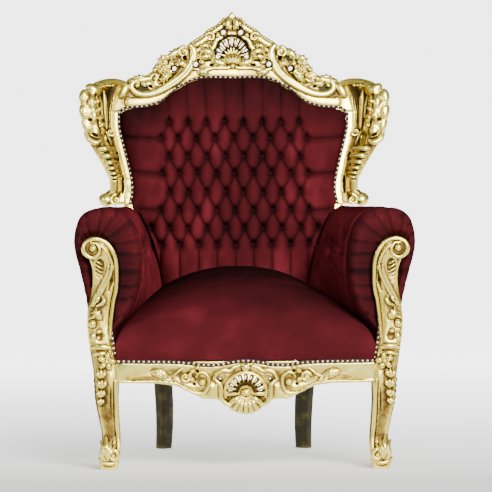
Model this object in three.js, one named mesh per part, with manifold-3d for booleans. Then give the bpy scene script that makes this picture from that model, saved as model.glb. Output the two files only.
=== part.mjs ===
// Rococo "king" armchair-throne: a gilt carved beech frame with tufted velvet upholstery.
// Units are millimetres, +Z is up, the sitter faces -Y and +X is to the right seen from the front.
import * as THREE from 'three';
import { mergeVertices } from 'three/addons/utils/BufferGeometryUtils.js';
import Module from 'manifold-3d';

const wasm = await Module();
wasm.setup();

// Driving dimensions of the whole chair
const GAP = 0.4;              // clearance between rigid pieces that touch
const SOFT_GAP = 1;           // clearance round the padded arms
const RAIL_TOP = 288;         // top of the seat rails
const RAIL_BOTTOM = 232;      // underside of the side rails
const REAR_LEG_X = 192;       // half distance between the rear feet
const REAR_FOOT_Y = 254;      // line of the rear feet
const FRAME_THICKNESS = 34;   // thickness of the back frame
const RAKE = 0.173;           // how far the back leans for each millimetre of height
const RAKE_Y = 209;           // front of the back frame at SEAT_LEVEL
const SEAT_LEVEL = 450;       // height that the rake is measured from

const gilt = { color: 0xd2ae6c, roughness: 0.42, metalness: 0.75 };
const velvet = { color: 0x5f1b22, roughness: 0.9, metalness: 0.0 };
const darkWood = { color: 0x3a3622, roughness: 0.6, metalness: 0.0 };

// ---- Small geometry tools -------------------------------------------------------------

function toSolid(geometry) {
  const bare = geometry.clone();
  bare.deleteAttribute('normal');
  bare.deleteAttribute('uv');
  const merged = mergeVertices(bare, 1e-4);
  return new wasm.Manifold(new wasm.Mesh({
    numProp: 3,
    vertProperties: new Float32Array(merged.attributes.position.array),
    triVerts: new Uint32Array(merged.index.array),
  }));
}

function join(solids) {
  return solids.reduce((whole, next) => whole.add(next));
}

function cut(solid, tools) {
  return tools.reduce((left, tool) => left.subtract(tool), solid);
}

// A closed skin over rings of equal length, with a fan over each end
function loft(rings) {
  const count = rings[0].length;
  const positions = [];
  const index = [];
  rings.forEach((ring) => ring.forEach((p) => positions.push(p.x, p.y, p.z)));
  for (let r = 0; r + 1 < rings.length; r++) {
    for (let i = 0; i < count; i++) {
      const a = r * count + i;
      const b = r * count + (i + 1) % count;
      index.push(a, b, b + count, a, b + count, a + count);
    }
  }
  [[0, 1], [rings.length - 1, 0]].forEach(([r, flip]) => {
    const centre = rings[r].reduce((sum, p) => sum.add(p), new THREE.Vector3()).divideScalar(count);
    const hub = positions.length / 3;
    positions.push(centre.x, centre.y, centre.z);
    for (let i = 0; i < count; i++) {
      const a = r * count + i;
      const b = r * count + (i + 1) % count;
      index.push(...(flip ? [b, a, hub] : [a, b, hub]));
    }
  });
  const geometry = new THREE.BufferGeometry();
  geometry.setAttribute('position', new THREE.Float32BufferAttribute(positions, 3));
  geometry.setIndex(index);
  return outward(geometry);
}

// Turns every face over when the enclosed volume comes out negative
function outward(geometry) {
  const p = geometry.attributes.position;
  const index = geometry.index.array;
  const corner = [new THREE.Vector3(), new THREE.Vector3(), new THREE.Vector3()];
  let volume = 0;
  for (let i = 0; i < index.length; i += 3) {
    corner.forEach((v, k) => v.fromBufferAttribute(p, index[i + k]));
    volume += corner[0].dot(corner[1].clone().cross(corner[2]));
  }
  if (volume < 0) {
    for (let i = 0; i < index.length; i += 3) {
      [index[i + 1], index[i + 2]] = [index[i + 2], index[i + 1]];
    }
  }
  return geometry;
}

// An egg-shaped lump: radii along X, Y and Z, turned about Y by an angle in degrees
function lump(x, y, z, rx, ry, rz, turn = 0, across = 4, down = 2) {
  const geometry = new THREE.SphereGeometry(1, across, down);
  geometry.rotateX(Math.PI / 2);
  geometry.scale(rx, ry, rz);
  geometry.rotateY(THREE.MathUtils.degToRad(turn));
  geometry.translate(x, y, z);
  return toSolid(geometry);
}

// A tapering round bar through points, with a radius at each point
function bar(points, radii, sides = 6, steps = 0, flatten = 1) {
  const curve = new THREE.CatmullRomCurve3(points);
  const count = steps || points.length;
  const rings = [];
  for (let i = 0; i <= count; i++) {
    const t = i / count;
    const at = t * (radii.length - 1);
    const low = Math.min(Math.floor(at), radii.length - 2);
    const radius = THREE.MathUtils.lerp(radii[low], radii[low + 1], at - low);
    const centre = curve.getPoint(t);
    const along = curve.getTangent(t).normalize();
    const front = new THREE.Vector3(0, -1, 0);
    front.addScaledVector(along, -front.dot(along)).normalize();
    const side = along.clone().cross(front);
    rings.push([...Array(sides).keys()].map((k) => {
      const angle = (k / sides) * 2 * Math.PI;
      return centre.clone()
        .addScaledVector(side, radius * Math.cos(angle))
        .addScaledVector(front, radius * flatten * Math.sin(angle));
    }));
  }
  return toSolid(loft(rings));
}

// A flat board seen from the front: an outline of [x, z] pairs, with round holes [x, z, radius]
function board(outline, front, thickness, holes = []) {
  const corners = outline.map(([x, z]) => new THREE.Vector2(x, z));
  const shape = new THREE.Shape(THREE.ShapeUtils.isClockWise(corners) ? corners.reverse() : corners);
  holes.forEach(([x, z, radius]) => {
    shape.holes.push(new THREE.Path().absarc(x, z, radius, 0, 2 * Math.PI, true));
  });
  const geometry = new THREE.ExtrudeGeometry(shape, {
    depth: thickness, bevelEnabled: false, curveSegments: 3,
  });
  geometry.rotateX(Math.PI / 2);
  geometry.translate(0, front + thickness, 0);
  return toSolid(geometry);
}

const mirrorLine = (pairs) => pairs.map(([x, z]) => [-x, z]).reverse();

// The outer skin of a joined solid: pockets closed in between overlapping motifs are filled
function outerSkin(mesh) {
  const parent = [...Array(mesh.vertProperties.length / 3).keys()];
  const root = (v) => {
    while (parent[v] !== v) {
      parent[v] = parent[parent[v]];
      v = parent[v];
    }
    return v;
  };
  const at = (v) => new THREE.Vector3().fromArray(mesh.vertProperties, 3 * v);
  const tris = [];
  for (let i = 0; i < mesh.triVerts.length; i += 3) {
    const tri = [...mesh.triVerts.slice(i, i + 3)];
    tris.push(tri);
    parent[root(tri[1])] = root(tri[0]);
    parent[root(tri[2])] = root(tri[0]);
  }
  const volumes = new Map();
  tris.forEach((tri) => {
    const [a, b, c] = tri.map(at);
    volumes.set(root(tri[0]), (volumes.get(root(tri[0])) || 0) + a.dot(b.cross(c)));
  });
  const outer = [...volumes.entries()].sort((a, b) => b[1] - a[1])[0][0];
  return tris.filter((tri) => root(tri[0]) === outer).flat();
}

function meshOf(name, solid, look) {
  const mesh = solid.getMesh();
  const whole = new THREE.BufferGeometry();
  whole.setAttribute('position', new THREE.Float32BufferAttribute(mesh.vertProperties, 3));
  whole.setIndex(outerSkin(mesh));
  const geometry = mergeVertices(whole.toNonIndexed(), 1e-4);
  const result = new THREE.Mesh(geometry, new THREE.MeshStandardMaterial(look));
  result.name = name;
  return result;
}

// The left piece is the right one seen in a mirror
function mirrored(solid) {
  const mesh = solid.getMesh();
  const positions = Float32Array.from(mesh.vertProperties, (value, i) => (i % 3 === 0 ? -value : value));
  const triangles = Uint32Array.from(mesh.triVerts);
  for (let i = 0; i < triangles.length; i += 3) {
    [triangles[i + 1], triangles[i + 2]] = [triangles[i + 2], triangles[i + 1]];
  }
  return new wasm.Manifold(new wasm.Mesh({ numProp: 3, vertProperties: positions, triVerts: triangles }));
}

// Leans a piece made upright on the plane y = 0 onto the raked back
function raked(solid) {
  const mesh = solid.getMesh();
  const positions = Float32Array.from(mesh.vertProperties);
  for (let i = 0; i < positions.length; i += 3) {
    positions[i + 1] += rakeY(positions[i + 2]);
  }
  return new wasm.Manifold(new wasm.Mesh({
    numProp: 3, vertProperties: positions, triVerts: Uint32Array.from(mesh.triVerts),
  }));
}

const rakeY = (z) => RAKE_Y + RAKE * (z - SEAT_LEVEL);

const v3 = (x, y, z) => new THREE.Vector3(x, y, z);

// ---- Carved motifs ------------------------------------------------------------------

// A spiral that winds in from its outer radius, lying in a plane of constant y
function volute(x, y, z, radius, start, turns, thick, sign = 1) {
  const points = [];
  const radii = [];
  const count = Math.round(turns * 5);
  for (let i = 0; i <= count; i++) {
    const t = i / count;
    const r = radius * (1 - 0.78 * t);
    const angle = THREE.MathUtils.degToRad(start) + sign * t * turns * 2 * Math.PI;
    points.push(v3(x + r * Math.cos(angle), y, z + r * Math.sin(angle)));
    radii.push(thick * (1 - 0.45 * t));
  }
  return bar(points, radii, 4, count);
}

// A scallop of raised lobes that fan out from a hub
function shell(x, y, z, radius, lobes, spread, depth, up = 90) {
  const parts = [lump(x, y - 2, z, radius * 0.24, depth, radius * 0.24)];
  for (let i = 0; i < lobes; i++) {
    const angle = up + spread * (i / (lobes - 1) - 0.5);
    const reach = radius * 0.6;
    const rad = THREE.MathUtils.degToRad(angle);
    const width = radius * 0.62 * THREE.MathUtils.degToRad(spread) / lobes;
    parts.push(lump(x + reach * Math.cos(rad), y, z + reach * Math.sin(rad),
      radius * 0.5, depth, width * 1.15, -angle));
  }
  return join(parts);
}

// A flower of round petals about a button
function flower(x, y, z, radius, petals, depth) {
  const parts = [lump(x, y - depth * 0.4, z, radius * 0.36, depth, radius * 0.36)];
  for (let i = 0; i < petals; i++) {
    const angle = (i / petals) * 360 + 90;
    const rad = THREE.MathUtils.degToRad(angle);
    parts.push(lump(x + radius * 0.58 * Math.cos(rad), y, z + radius * 0.58 * Math.sin(rad),
      radius * 0.5, depth * 0.8, radius * 0.36, -angle));
  }
  return join(parts);
}

// An acanthus leaf: blades that spring from one line, shorter towards both ends
function acanthus(x, y, z, length, width, turn, blades, depth) {
  const axis = THREE.MathUtils.degToRad(turn);
  const parts = [lump(x, y, z, length * 0.5, depth, width * 0.18, -turn)];
  for (let i = 0; i < blades; i++) {
    const t = (i + 0.5) / blades - 0.5;
    const reach = width * 0.5 * (1 - 1.6 * t * t);
    [-1, 1].forEach((side) => {
      const angle = turn + side * 52;
      const rad = THREE.MathUtils.degToRad(angle);
      const bx = x + length * t * Math.cos(axis) * 0.9 + reach * 0.5 * Math.cos(rad);
      const bz = z + length * t * Math.sin(axis) * 0.9 + reach * 0.5 * Math.sin(rad);
      parts.push(lump(bx, y, bz, reach * 0.6, depth * 0.8, width * 0.15, -angle));
    });
  }
  return join(parts);
}

// ---- Back frame -----------------------------------------------------------------------

// Half outlines of the back, each a list of [x, z] from the middle outwards
const crestTop = [
  [0, 1200], [14, 1184], [24, 1180], [40, 1163], [64, 1150], [78, 1136], [95, 1125], [111, 1115],
  [119, 1107], [144, 1106], [160, 1096], [180, 1082], [200, 1066], [213, 1054], [221, 1036],
  [240, 1024], [257, 1017], [272, 1021], [287, 1016],
];
const velvetEdge = [
  [0, 1017], [50, 1018], [94, 1016], [130, 1003], [170, 980], [195, 958], [214, 947],
  [242, 939], [283, 936], [301, 932], [310, 922], [310, 885], [300, 840],
  [288, 793], [277, 743], [275, 710], [281, 676],
];
const CREST_FOOT = 928;       // where the crest sits on the stiles
const CREST_LAP = 22;         // how far the frame runs in behind the velvet
const STRIP = 20;             // width of the plain strip outside the velvet

function crestRail() {
  const under = velvetEdge.slice(0, 8).map(([x, z]) => [x * 0.97, z - CREST_LAP]);
  const half = [...crestTop, [305, 990], [322, 962], [331, CREST_FOOT], [268, CREST_FOOT]];
  const outline = [...half, ...under.reverse(), ...mirrorLine([...half, ...under]).slice(0, -1)];
  const holes = [];
  [-1, 1].forEach((side) => {
    holes.push([side * 24, 1147, 7], [side * 99, 1057, 7], [side * 157, 1046, 7]);
    holes.push([side * 20, 1113, 6]);
  });
  const parts = [board(closeLoop(outline), 0, FRAME_THICKNESS, holes)];
  parts.push(shell(0, -4, 1076, 52, 7, 230, 9));
  parts.push(lump(0, 0, 1168, 9, 10, 24), lump(0, 0, 1140, 7, 9, 16));
  [-1, 1].forEach((side) => {
    const scroll = [[117, 1110], [106, 1096], [112, 1068], [128, 1041], [150, 1019], [186, 991],
      [228, 977], [261, 983], [277, 997], [274, 1008]];
    parts.push(bar(scroll.map(([x, z]) => v3(side * x, -3, z)), [6, 9, 10, 10, 10, 9, 9, 9, 8, 5], 4, 9));
    const inner = [[14, 1184], [30, 1160], [56, 1144], [84, 1124], [108, 1108]];
    parts.push(bar(inner.map(([x, z]) => v3(side * x, -2, z - 6)), [6, 8, 8, 8, 6], 4));
    const brow = [[60, 1062], [78, 1070], [84, 1092], [70, 1106], [56, 1098]];
    parts.push(bar(brow.map(([x, z]) => v3(side * x, -3, z)), [6, 7, 7, 6, 4], 4));
    parts.push(flower(side * 62, -3, 1132, 15, 5, 7));
    parts.push(lump(side * 11, -3, 1168, 5, 8, 14, side * 25));
    parts.push(acanthus(side * 150, -2, 1088, 52, 38, side > 0 ? 150 : 30, 2, 9));
    parts.push(flower(side * 190, -3, 1046, 24, 5, 8));
    parts.push(acanthus(side * 238, -2, 1002, 42, 26, side > 0 ? 170 : 10, 1, 7));
  });
  return raked(join(parts));
}

function closeLoop(outline) {
  const kept = [];
  outline.forEach(([x, z]) => {
    const last = kept[kept.length - 1];
    if (!last || Math.hypot(x - last[0], z - last[1]) > 0.5) {
      kept.push([x, z]);
    }
  });
  const [first] = kept;
  const last = kept[kept.length - 1];
  if (Math.hypot(first[0] - last[0], first[1] - last[1]) < 0.5) {
    kept.pop();
  }
  return kept;
}

// Sizes of a wing at a few heights: [z, root x, outer x, reach forward, width of the lip]
const wingSizes = [
  [672, 297, 344, 14, 26], [686, 297, 362, 20, 30], [712, 297, 341, 24, 24],
  [742, 299, 342, 34, 26], [770, 304, 355, 44, 30], [811, 315, 378, 62, 40],
  [846, 322, 399, 76, 46], [885, 331, 411, 86, 48], [930, 330, 421, 90, 48],
  [970, 319, 420, 88, 46], [998, 307, 400, 78, 39], [1014, 296, 372, 62, 28],
];

function wing(grow = 0) {
  const rings = wingSizes.map(([z, root, out, reach, lip], level) => {
    const y = rakeY(z);
    const rise = level === 0 ? -grow : (level === wingSizes.length - 1 ? grow : 0);
    const ring = [
      [root + 1 - grow, y - grow], [THREE.MathUtils.lerp(root, out - lip, 0.55), y - reach * 0.2 - grow],
      [out - lip - grow, y - reach * 0.72], [out - lip * 0.8, y - reach - grow],
      [out - lip * 0.35, y - reach - 5 - grow], [out - 3 + grow, y - reach * 0.94],
      [out + grow, y - reach * 0.66], [THREE.MathUtils.lerp(root, out, 0.72), y - reach * 0.1 + 14 + grow],
      [root + 1 - grow, y + FRAME_THICKNESS - 4 + grow],
    ];
    return ring.map(([x, py]) => v3(x, py, z + rise));
  });
  return toSolid(loft(rings));
}

function wingCarving() {
  const parts = [];
  // leaf blades that climb the bright outer lip
  for (let i = 0; i < 5; i++) {
    const z = 866 + i * 29;
    const [out, reach, lip] = wingAt(z);
    const y = rakeY(z) - reach;
    parts.push(lump(out - lip * 0.42, y - 2, z, lip * 0.42, 9, 10, -38));
  }
  // gadroons down the narrow foot of the wing
  for (let i = 0; i < 4; i++) {
    const z = 732 + i * 27;
    const [out, reach, lip] = wingAt(z);
    parts.push(lump(out - lip * 0.45, rakeY(z) - reach, z, lip * 0.44, 8, 9, -24));
  }
  const [out, reach] = wingAt(690);
  parts.push(volute(out - 22, rakeY(690) - reach, 684, 16, 90, 1, 6));
  parts.push(lump(326, rakeY(857) - 12, 857, 10, 12, 14));
  const topLeaf = [[300, 1000], [330, 1008], [362, 1008], [392, 994]];
  parts.push(bar(topLeaf.map(([x, z], i) => v3(x, rakeY(z) - 18 - i * 18, z)), [7, 9, 10, 6], 4));
  return parts;
}

// The outer x, the reach and the lip width of the wing at any height
function wingAt(z) {
  const next = wingSizes.findIndex((row) => row[0] >= z);
  const [a, b] = [wingSizes[Math.max(next - 1, 0)], wingSizes[Math.max(next, 1)]];
  const t = THREE.MathUtils.clamp((z - a[0]) / (b[0] - a[0]), 0, 1);
  return [2, 3, 4].map((k) => THREE.MathUtils.lerp(a[k], b[k], t));
}

// ---- Legs -----------------------------------------------------------------------------

// Front leg and arm post in one: [z, x, y, half width, half depth] up the centre line
const frontLegSizes = [
  [0, 361, -342, 19, 20], [10, 361, -343, 26, 26], [32, 361, -344, 28, 26], [58, 357, -339, 27, 23],
  [88, 354, -334, 24, 21], [145, 362, -337, 28, 25], [185, 367, -341, 31, 28], [225, 367, -343, 33, 27],
  [262, 370, -341, 32, 26], [305, 378, -337, 31, 26], [350, 386, -334, 30, 25], [390, 389, -331, 30, 24],
  [430, 386, -329, 30, 24], [465, 378, -329, 30, 24], [500, 373, -331, 31, 24], [540, 375, -335, 32, 25],
  [572, 382, -339, 31, 25], [596, 389, -340, 24, 24], [608, 393, -340, 13, 20],
];
const VOLUTE_X = 401;
const VOLUTE_Z = 588;
const VOLUTE_RADIUS = 29;

function frontLegBody(grow = 0) {
  const sides = 8;
  const rings = frontLegSizes.map(([z, x, y, width, depth], level) => {
    const drop = level === 0 ? -grow : 0;
    return [...Array(sides).keys()].map((k) => {
      const angle = ((k + 0.5) / sides) * 2 * Math.PI;
      return v3(x + (width + grow) * Math.cos(angle) * 1.07, y + (depth + grow) * Math.sin(angle) * 1.07,
        z + drop);
    });
  });
  const head = new THREE.CylinderGeometry(VOLUTE_RADIUS + grow, VOLUTE_RADIUS + grow, 44 + 2 * grow, 10);
  head.translate(VOLUTE_X, -341, VOLUTE_Z);
  return join([toSolid(loft(rings)), toSolid(head)]);
}

function frontLeg() {
  const parts = [frontLegBody()];
  parts.push(volute(VOLUTE_X, -363, VOLUTE_Z, 23, -60, 1.3, 5.5, 1));
  parts.push(lump(VOLUTE_X, -365, VOLUTE_Z, 8, 6, 8));
  // bead that twists down the post, with leaves along it
  const twist = [[352, 560], [349, 530], [352, 500], [362, 470], [380, 440], [400, 415], [408, 385]];
  parts.push(bar(twist.map(([x, z]) => v3(x, -354, z)), [6, 7, 7, 8, 8, 7, 5], 4));
  parts.push(acanthus(386, -355, 520, 84, 42, 96, 2, 9));
  parts.push(acanthus(390, -358, 348, 44, 44, 90, 1, 9));
  // flower on the joint with the rail, husks below it, leaf and scroll on the foot
  parts.push(flower(372, -361, 290, 27, 5, 9));
  for (let i = 0; i < 2; i++) {
    const size = 1 - i * 0.25;
    parts.push(lump(368, -365, 244 - i * 31, 12 * size, 8, 18 * size));
  }
  parts.push(acanthus(356, -356, 84, 74, 44, 90, 1, 9));
  parts.push(volute(350, -366, 26, 16, 100, 0.9, 6, 1));
  const floor = new THREE.BoxGeometry(200, 200, 60);
  floor.translate(360, -340, -30);
  return cut(join(parts), [toSolid(floor)]);
}

// Rear leg and back stile in one: [z, x, y, half width, half depth]
const rearLegSizes = [
  [0, REAR_LEG_X, REAR_FOOT_Y, 25, 21], [60, 192, 243, 25, 22], [130, 191, 232, 26, 23],
  [200, 192, 226, 27, 24], [292, 194, 224, 27, 20], [380, 210, 222, 26, 14], [480, 240, 227, 25, 14],
  [580, 262, 240, 24, 14], [680, 273, 257, 24, 14],
];

function rearLeg(grow = 0) {
  const leg = rearLegSizes.map(([z, x, y, width, depth], level) => [
    v3(x - width - grow, y - depth - grow, z + (level ? 0 : -grow)),
    v3(x + width + grow, y - depth - grow, z + (level ? 0 : -grow)),
    v3(x + width + grow, y + depth + grow, z + (level ? 0 : -grow)),
    v3(x - width - grow, y + depth + grow, z + (level ? 0 : -grow)),
  ]);
  const edge = velvetEdge.filter(([, z]) => z <= CREST_FOOT - 2);
  const outer = edge.map(([x, z]) => [x + STRIP + grow, z]);
  const inner = edge.map(([x, z]) => [x - CREST_LAP - grow, z]).reverse();
  const top = CREST_FOOT - GAP;
  const outline = [[outer[0][0], top], ...outer, [outer[outer.length - 1][0] - 2, 640],
    [inner[0][0] - 4, 640], ...inner, [inner[inner.length - 1][0], top]];
  const stile = board(closeLoop(outline), -grow, FRAME_THICKNESS + 2 * grow);
  return join([toSolid(loft(leg)), raked(stile)]);
}

// ---- Seat rails -----------------------------------------------------------------------

const RAIL_FRONT = -370;
const apronEdge = [
  [0, 147], [16, 149], [37, 157], [47, 168], [63, 184], [82, 187], [113, 188], [134, 199], [161, 213],
  [187, 223], [232, 229], [345, 231],
];

function frontRail() {
  const top = [[345, 284], [254, 283], [190, 282], [149, 279], [110, 274], [70, 275], [38, 281], [0, 285]];
  const half = [...apronEdge, ...top];
  const left = mirrorLine(half);
  const outline = closeLoop([...half, ...left]);
  const parts = [board(outline, RAIL_FRONT + 8, 26)];
  const ledge = new THREE.BoxGeometry(690, 20, 40);
  ledge.translate(0, RAIL_FRONT + 26, RAIL_TOP - GAP - 20);
  parts.push(toSolid(ledge));
  parts.push(shell(0, RAIL_FRONT + 8, 206, 46, 7, 220, 8));
  [-1, 1].forEach((side) => {
    const around = [[10, 158], [40, 168], [66, 196], [74, 230], [56, 258], [34, 262], [30, 246]];
    parts.push(bar(around.map(([x, z]) => v3(side * x, RAIL_FRONT + 7, z)), [5, 7, 8, 8, 7, 6, 4], 4, 9));
    parts.push(acanthus(side * 136, RAIL_FRONT + 8, 236, 80, 46, side > 0 ? 160 : 20, 2, 8));
    parts.push(acanthus(side * 222, RAIL_FRONT + 8, 252, 58, 28, side > 0 ? 170 : 10, 1, 7));
    const scroll = [[84, 200], [112, 196], [150, 212], [196, 232], [260, 240], [325, 240]];
    parts.push(bar(scroll.map(([x, z]) => v3(side * x, RAIL_FRONT + 8, z)), [6, 7, 6, 5, 4, 4], 4));
  });
  return cut(join(parts), [frontLegBody(GAP), mirrored(frontLegBody(GAP))]);
}

// A moulded side rail between the front and the rear leg, its lower edge slightly arched
function sideRail() {
  const start = v3(378, -312, 0);
  const end = v3(206, 204, 0);
  const inward = v3(-(end.y - start.y), end.x - start.x, 0).normalize();
  const steps = 5;
  const rings = [];
  for (let i = 0; i <= steps; i++) {
    const t = i / steps;
    const base = start.clone().lerp(end, t);
    const low = RAIL_BOTTOM + 10 * Math.sin(Math.PI * t);
    const profile = [[0, low + 6], [5, low], [30, low], [30, RAIL_TOP - GAP], [2, RAIL_TOP - GAP],
      [2, RAIL_TOP - 12], [-2, RAIL_TOP - 18], [-2, low + 16]];
    rings.push(profile.map(([d, z]) => base.clone().addScaledVector(inward, d).setZ(z)));
  }
  return cut(toSolid(loft(rings)), [frontLegBody(GAP), rearLeg(GAP)]);
}

function backRail() {
  const bar = new THREE.BoxGeometry(2 * REAR_LEG_X - 54 - 2 * GAP, 26, RAIL_TOP - RAIL_BOTTOM - GAP);
  bar.translate(0, 222, (RAIL_TOP - GAP + RAIL_BOTTOM) / 2);
  return toSolid(bar);
}

// ---- Upholstery -----------------------------------------------------------------------

// Sections of the right arm, [x, z] round the roll, at the post and at the back
const armFront = [
  [392, 290], [410, 380], [422, 460], [438, 525], [453, 590], [449, 635], [424, 674], [384, 691],
  [338, 687], [298, 662], [268, 612], [263, 545], [275, 472], [306, 410], [346, 366], [352, 290],
];
const armRear = [
  [214, 290], [240, 390], [272, 455], [308, 520], [330, 580], [334, 625], [326, 655], [308, 668],
  [288, 668], [264, 650], [244, 612], [224, 560], [208, 505], [198, 450], [188, 380], [184, 290],
];
const ARM_FRONT_Y = -338;
const ARM_REAR_Y = 214;

function arm(grow = 0) {
  const steps = 5;
  const rings = [];
  const sections = [[ARM_FRONT_Y - grow, 0, 0.93], [ARM_FRONT_Y + 10 - grow, 0.01, 0.985]];
  for (let i = 1; i <= steps; i++) {
    const t = i / steps;
    sections.push([THREE.MathUtils.lerp(ARM_FRONT_Y + 12, ARM_REAR_Y + grow, t), t, 1]);
  }
  sections.forEach(([y, t, size]) => {
    const blend = THREE.MathUtils.smoothstep(t, 0, 1) * 0.35 + t * 0.65;
    const pairs = armFront.map(([x, z], i) => [
      THREE.MathUtils.lerp(x, armRear[i][0], blend), THREE.MathUtils.lerp(z, armRear[i][1], blend),
    ]);
    const cx = pairs.reduce((sum, p) => sum + p[0], 0) / pairs.length;
    const cz = pairs.reduce((sum, p) => sum + p[1], 0) / pairs.length;
    rings.push(pairs.map(([x, z], i) => {
      const [before, after] = [pairs.at(i - 1), pairs[(i + 1) % pairs.length]];
      const normal = new THREE.Vector2(before[1] - after[1], after[0] - before[0]).normalize();
      const px = cx + (x - cx) * size - normal.x * grow;
      const pz = cz + (z - cz) * size - normal.y * grow;
      return v3(px, y, Math.max(pz, RAIL_TOP + GAP));
    }));
  });
  return toSolid(loft(rings));
}

const SEAT_FRONT = -352;
const SEAT_REAR = 196;
const SEAT_FRONT_HALF = 344;
const SEAT_REAR_HALF = 205;
const SEAT_CROWN = 88;

function seatCushion() {
  const outline = [];
  const corner = 3;
  const sides = [[0, SEAT_FRONT], [SEAT_FRONT_HALF, SEAT_FRONT], [SEAT_REAR_HALF, SEAT_REAR], [0, SEAT_REAR]];
  for (let s = 0; s < 3; s++) {
    for (let i = 0; i < corner; i++) {
      const t = i / corner;
      outline.push([THREE.MathUtils.lerp(sides[s][0], sides[s + 1][0], t),
        THREE.MathUtils.lerp(sides[s][1], sides[s + 1][1], t)]);
    }
  }
  outline.push([0, SEAT_REAR]);
  const whole = [...outline, ...mirrorLine(outline).slice(1, -1)];
  const middle = (SEAT_FRONT + SEAT_REAR) / 2;
  const edgeHeight = (y) => THREE.MathUtils.lerp(392, 455, (y - SEAT_FRONT) / (SEAT_REAR - SEAT_FRONT));
  const ringAt = (scale, height) => whole.map(([x, y]) => {
    const back = (y - SEAT_FRONT) / (SEAT_REAR - SEAT_FRONT);
    const across = Math.abs(x) / THREE.MathUtils.lerp(SEAT_FRONT_HALF, SEAT_REAR_HALF, back);
    const round = 1 - 0.26 * (1 - scale * scale) * across * Math.abs(2 * back - 1);
    const px = x * scale * round;
    const py = middle + (y - middle) * scale * round;
    return v3(px, py, height(px, py));
  });
  const rings = [ringAt(0.985, () => RAIL_TOP + GAP), ringAt(1, () => RAIL_TOP + 25)];
  rings.push(ringAt(1, (x, y) => edgeHeight(y) - 22), ringAt(0.985, (x, y) => edgeHeight(y) - 4));
  [0.92, 0.76, 0.52, 0.25].forEach((scale) => {
    rings.push(ringAt(scale, (x, y) => edgeHeight(y) + SEAT_CROWN * (1 - scale * scale)));
  });
  const tools = [arm(SOFT_GAP), frontLegBody(GAP), rearLeg(GAP)];
  return cut(toSolid(loft(rings)), [...tools, ...tools.map(mirrored)]);
}

// The tufted inside back: thickest low down, its edge nailed to the frame
function backCushion(seat) {
  const bottom = [[268, 640], [250, 560], [232, 480], [214, 420], [0, 420]];
  const right = [...velvetEdge, ...bottom];
  const outline = closeLoop([...right, ...mirrorLine(right)]);
  const middle = 740;
  const ringAt = (scale, depth) => outline.map(([x, z]) => {
    const pz = middle + (z - middle) * scale;
    return v3(x * scale, rakeY(pz) - depth * (1 + 0.25 * (middle - pz) / 280), pz);
  });
  const rings = [ringAt(0.99, 0.6), ringAt(1, 16), ringAt(0.93, 44), ringAt(0.6, 65)];
  const tools = [arm(SOFT_GAP), rearLeg(GAP)];
  const roomy = cut(toSolid(loft(rings)), [...tools, ...tools.map(mirrored)]);
  return roomy.subtract(lifted(seat));
}

// The seat again, a hair higher and further back, to keep the back cushion clear of it
function lifted(solid) {
  return join([solid, shifted(solid, 0, GAP, GAP), shifted(solid, 0, 0, 2 * GAP)]);
}

function shifted(solid, dx, dy, dz) {
  const mesh = solid.getMesh();
  const move = [dx, dy, dz];
  const positions = Float32Array.from(mesh.vertProperties, (value, i) => value + move[i % 3]);
  return new wasm.Manifold(new wasm.Mesh({
    numProp: 3, vertProperties: positions, triVerts: Uint32Array.from(mesh.triVerts),
  }));
}

// The plain outside back, a thin padded panel on the rear face of the frame, between the rear legs
const OUTSIDE_BACK_THICKNESS = 5;
const OUTSIDE_BACK_PUFF = 4;

function outsideBack() {
  const right = [...velvetEdge.map(([x, z]) => [Math.max(x - 8, 0), z - 8]), [262, 640], [240, 540], [222, 452],
    [200, 446], [180, 380], [162, 289]];
  const outline = closeLoop([...right, ...mirrorLine(right)]);
  const inset = outline.filter((pair, i) => i % 2 === 0).map(([x, z]) => [x * 0.95, 700 + (z - 700) * 0.95]);
  const rear = FRAME_THICKNESS + GAP;
  return raked(join([
    board(outline, rear, OUTSIDE_BACK_THICKNESS),
    board(inset, rear + 1, OUTSIDE_BACK_THICKNESS + OUTSIDE_BACK_PUFF - 1),
  ]));
}

// ---- Assembly -------------------------------------------------------------------------

function pairOf(throne, name, solid, look) {
  throne.add(meshOf(`${name}_right`, solid, look), meshOf(`${name}_left`, mirrored(solid), look));
}

const throne = new THREE.Group();
throne.name = 'throne';
const crest = crestRail();
throne.add(meshOf('crest_rail', crest, gilt));
pairOf(throne, 'wing', cut(join([wing(), ...wingCarving()]), [crest, rearLeg(GAP)]), gilt);
pairOf(throne, 'front_leg', frontLeg(), gilt);
pairOf(throne, 'rear_leg', rearLeg(), darkWood);
throne.add(meshOf('front_rail', frontRail(), gilt));
pairOf(throne, 'side_rail', sideRail(), gilt);
throne.add(meshOf('back_rail', backRail(), darkWood));
pairOf(throne, 'arm', cut(arm(), [frontLegBody(GAP), rearLeg(GAP)]), velvet);
const seat = seatCushion();
throne.add(meshOf('seat', seat, velvet));
throne.add(meshOf('inside_back', backCushion(seat), velvet));
throne.add(meshOf('outside_back', outsideBack(), velvet));

export default throne;
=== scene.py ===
import math

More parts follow.
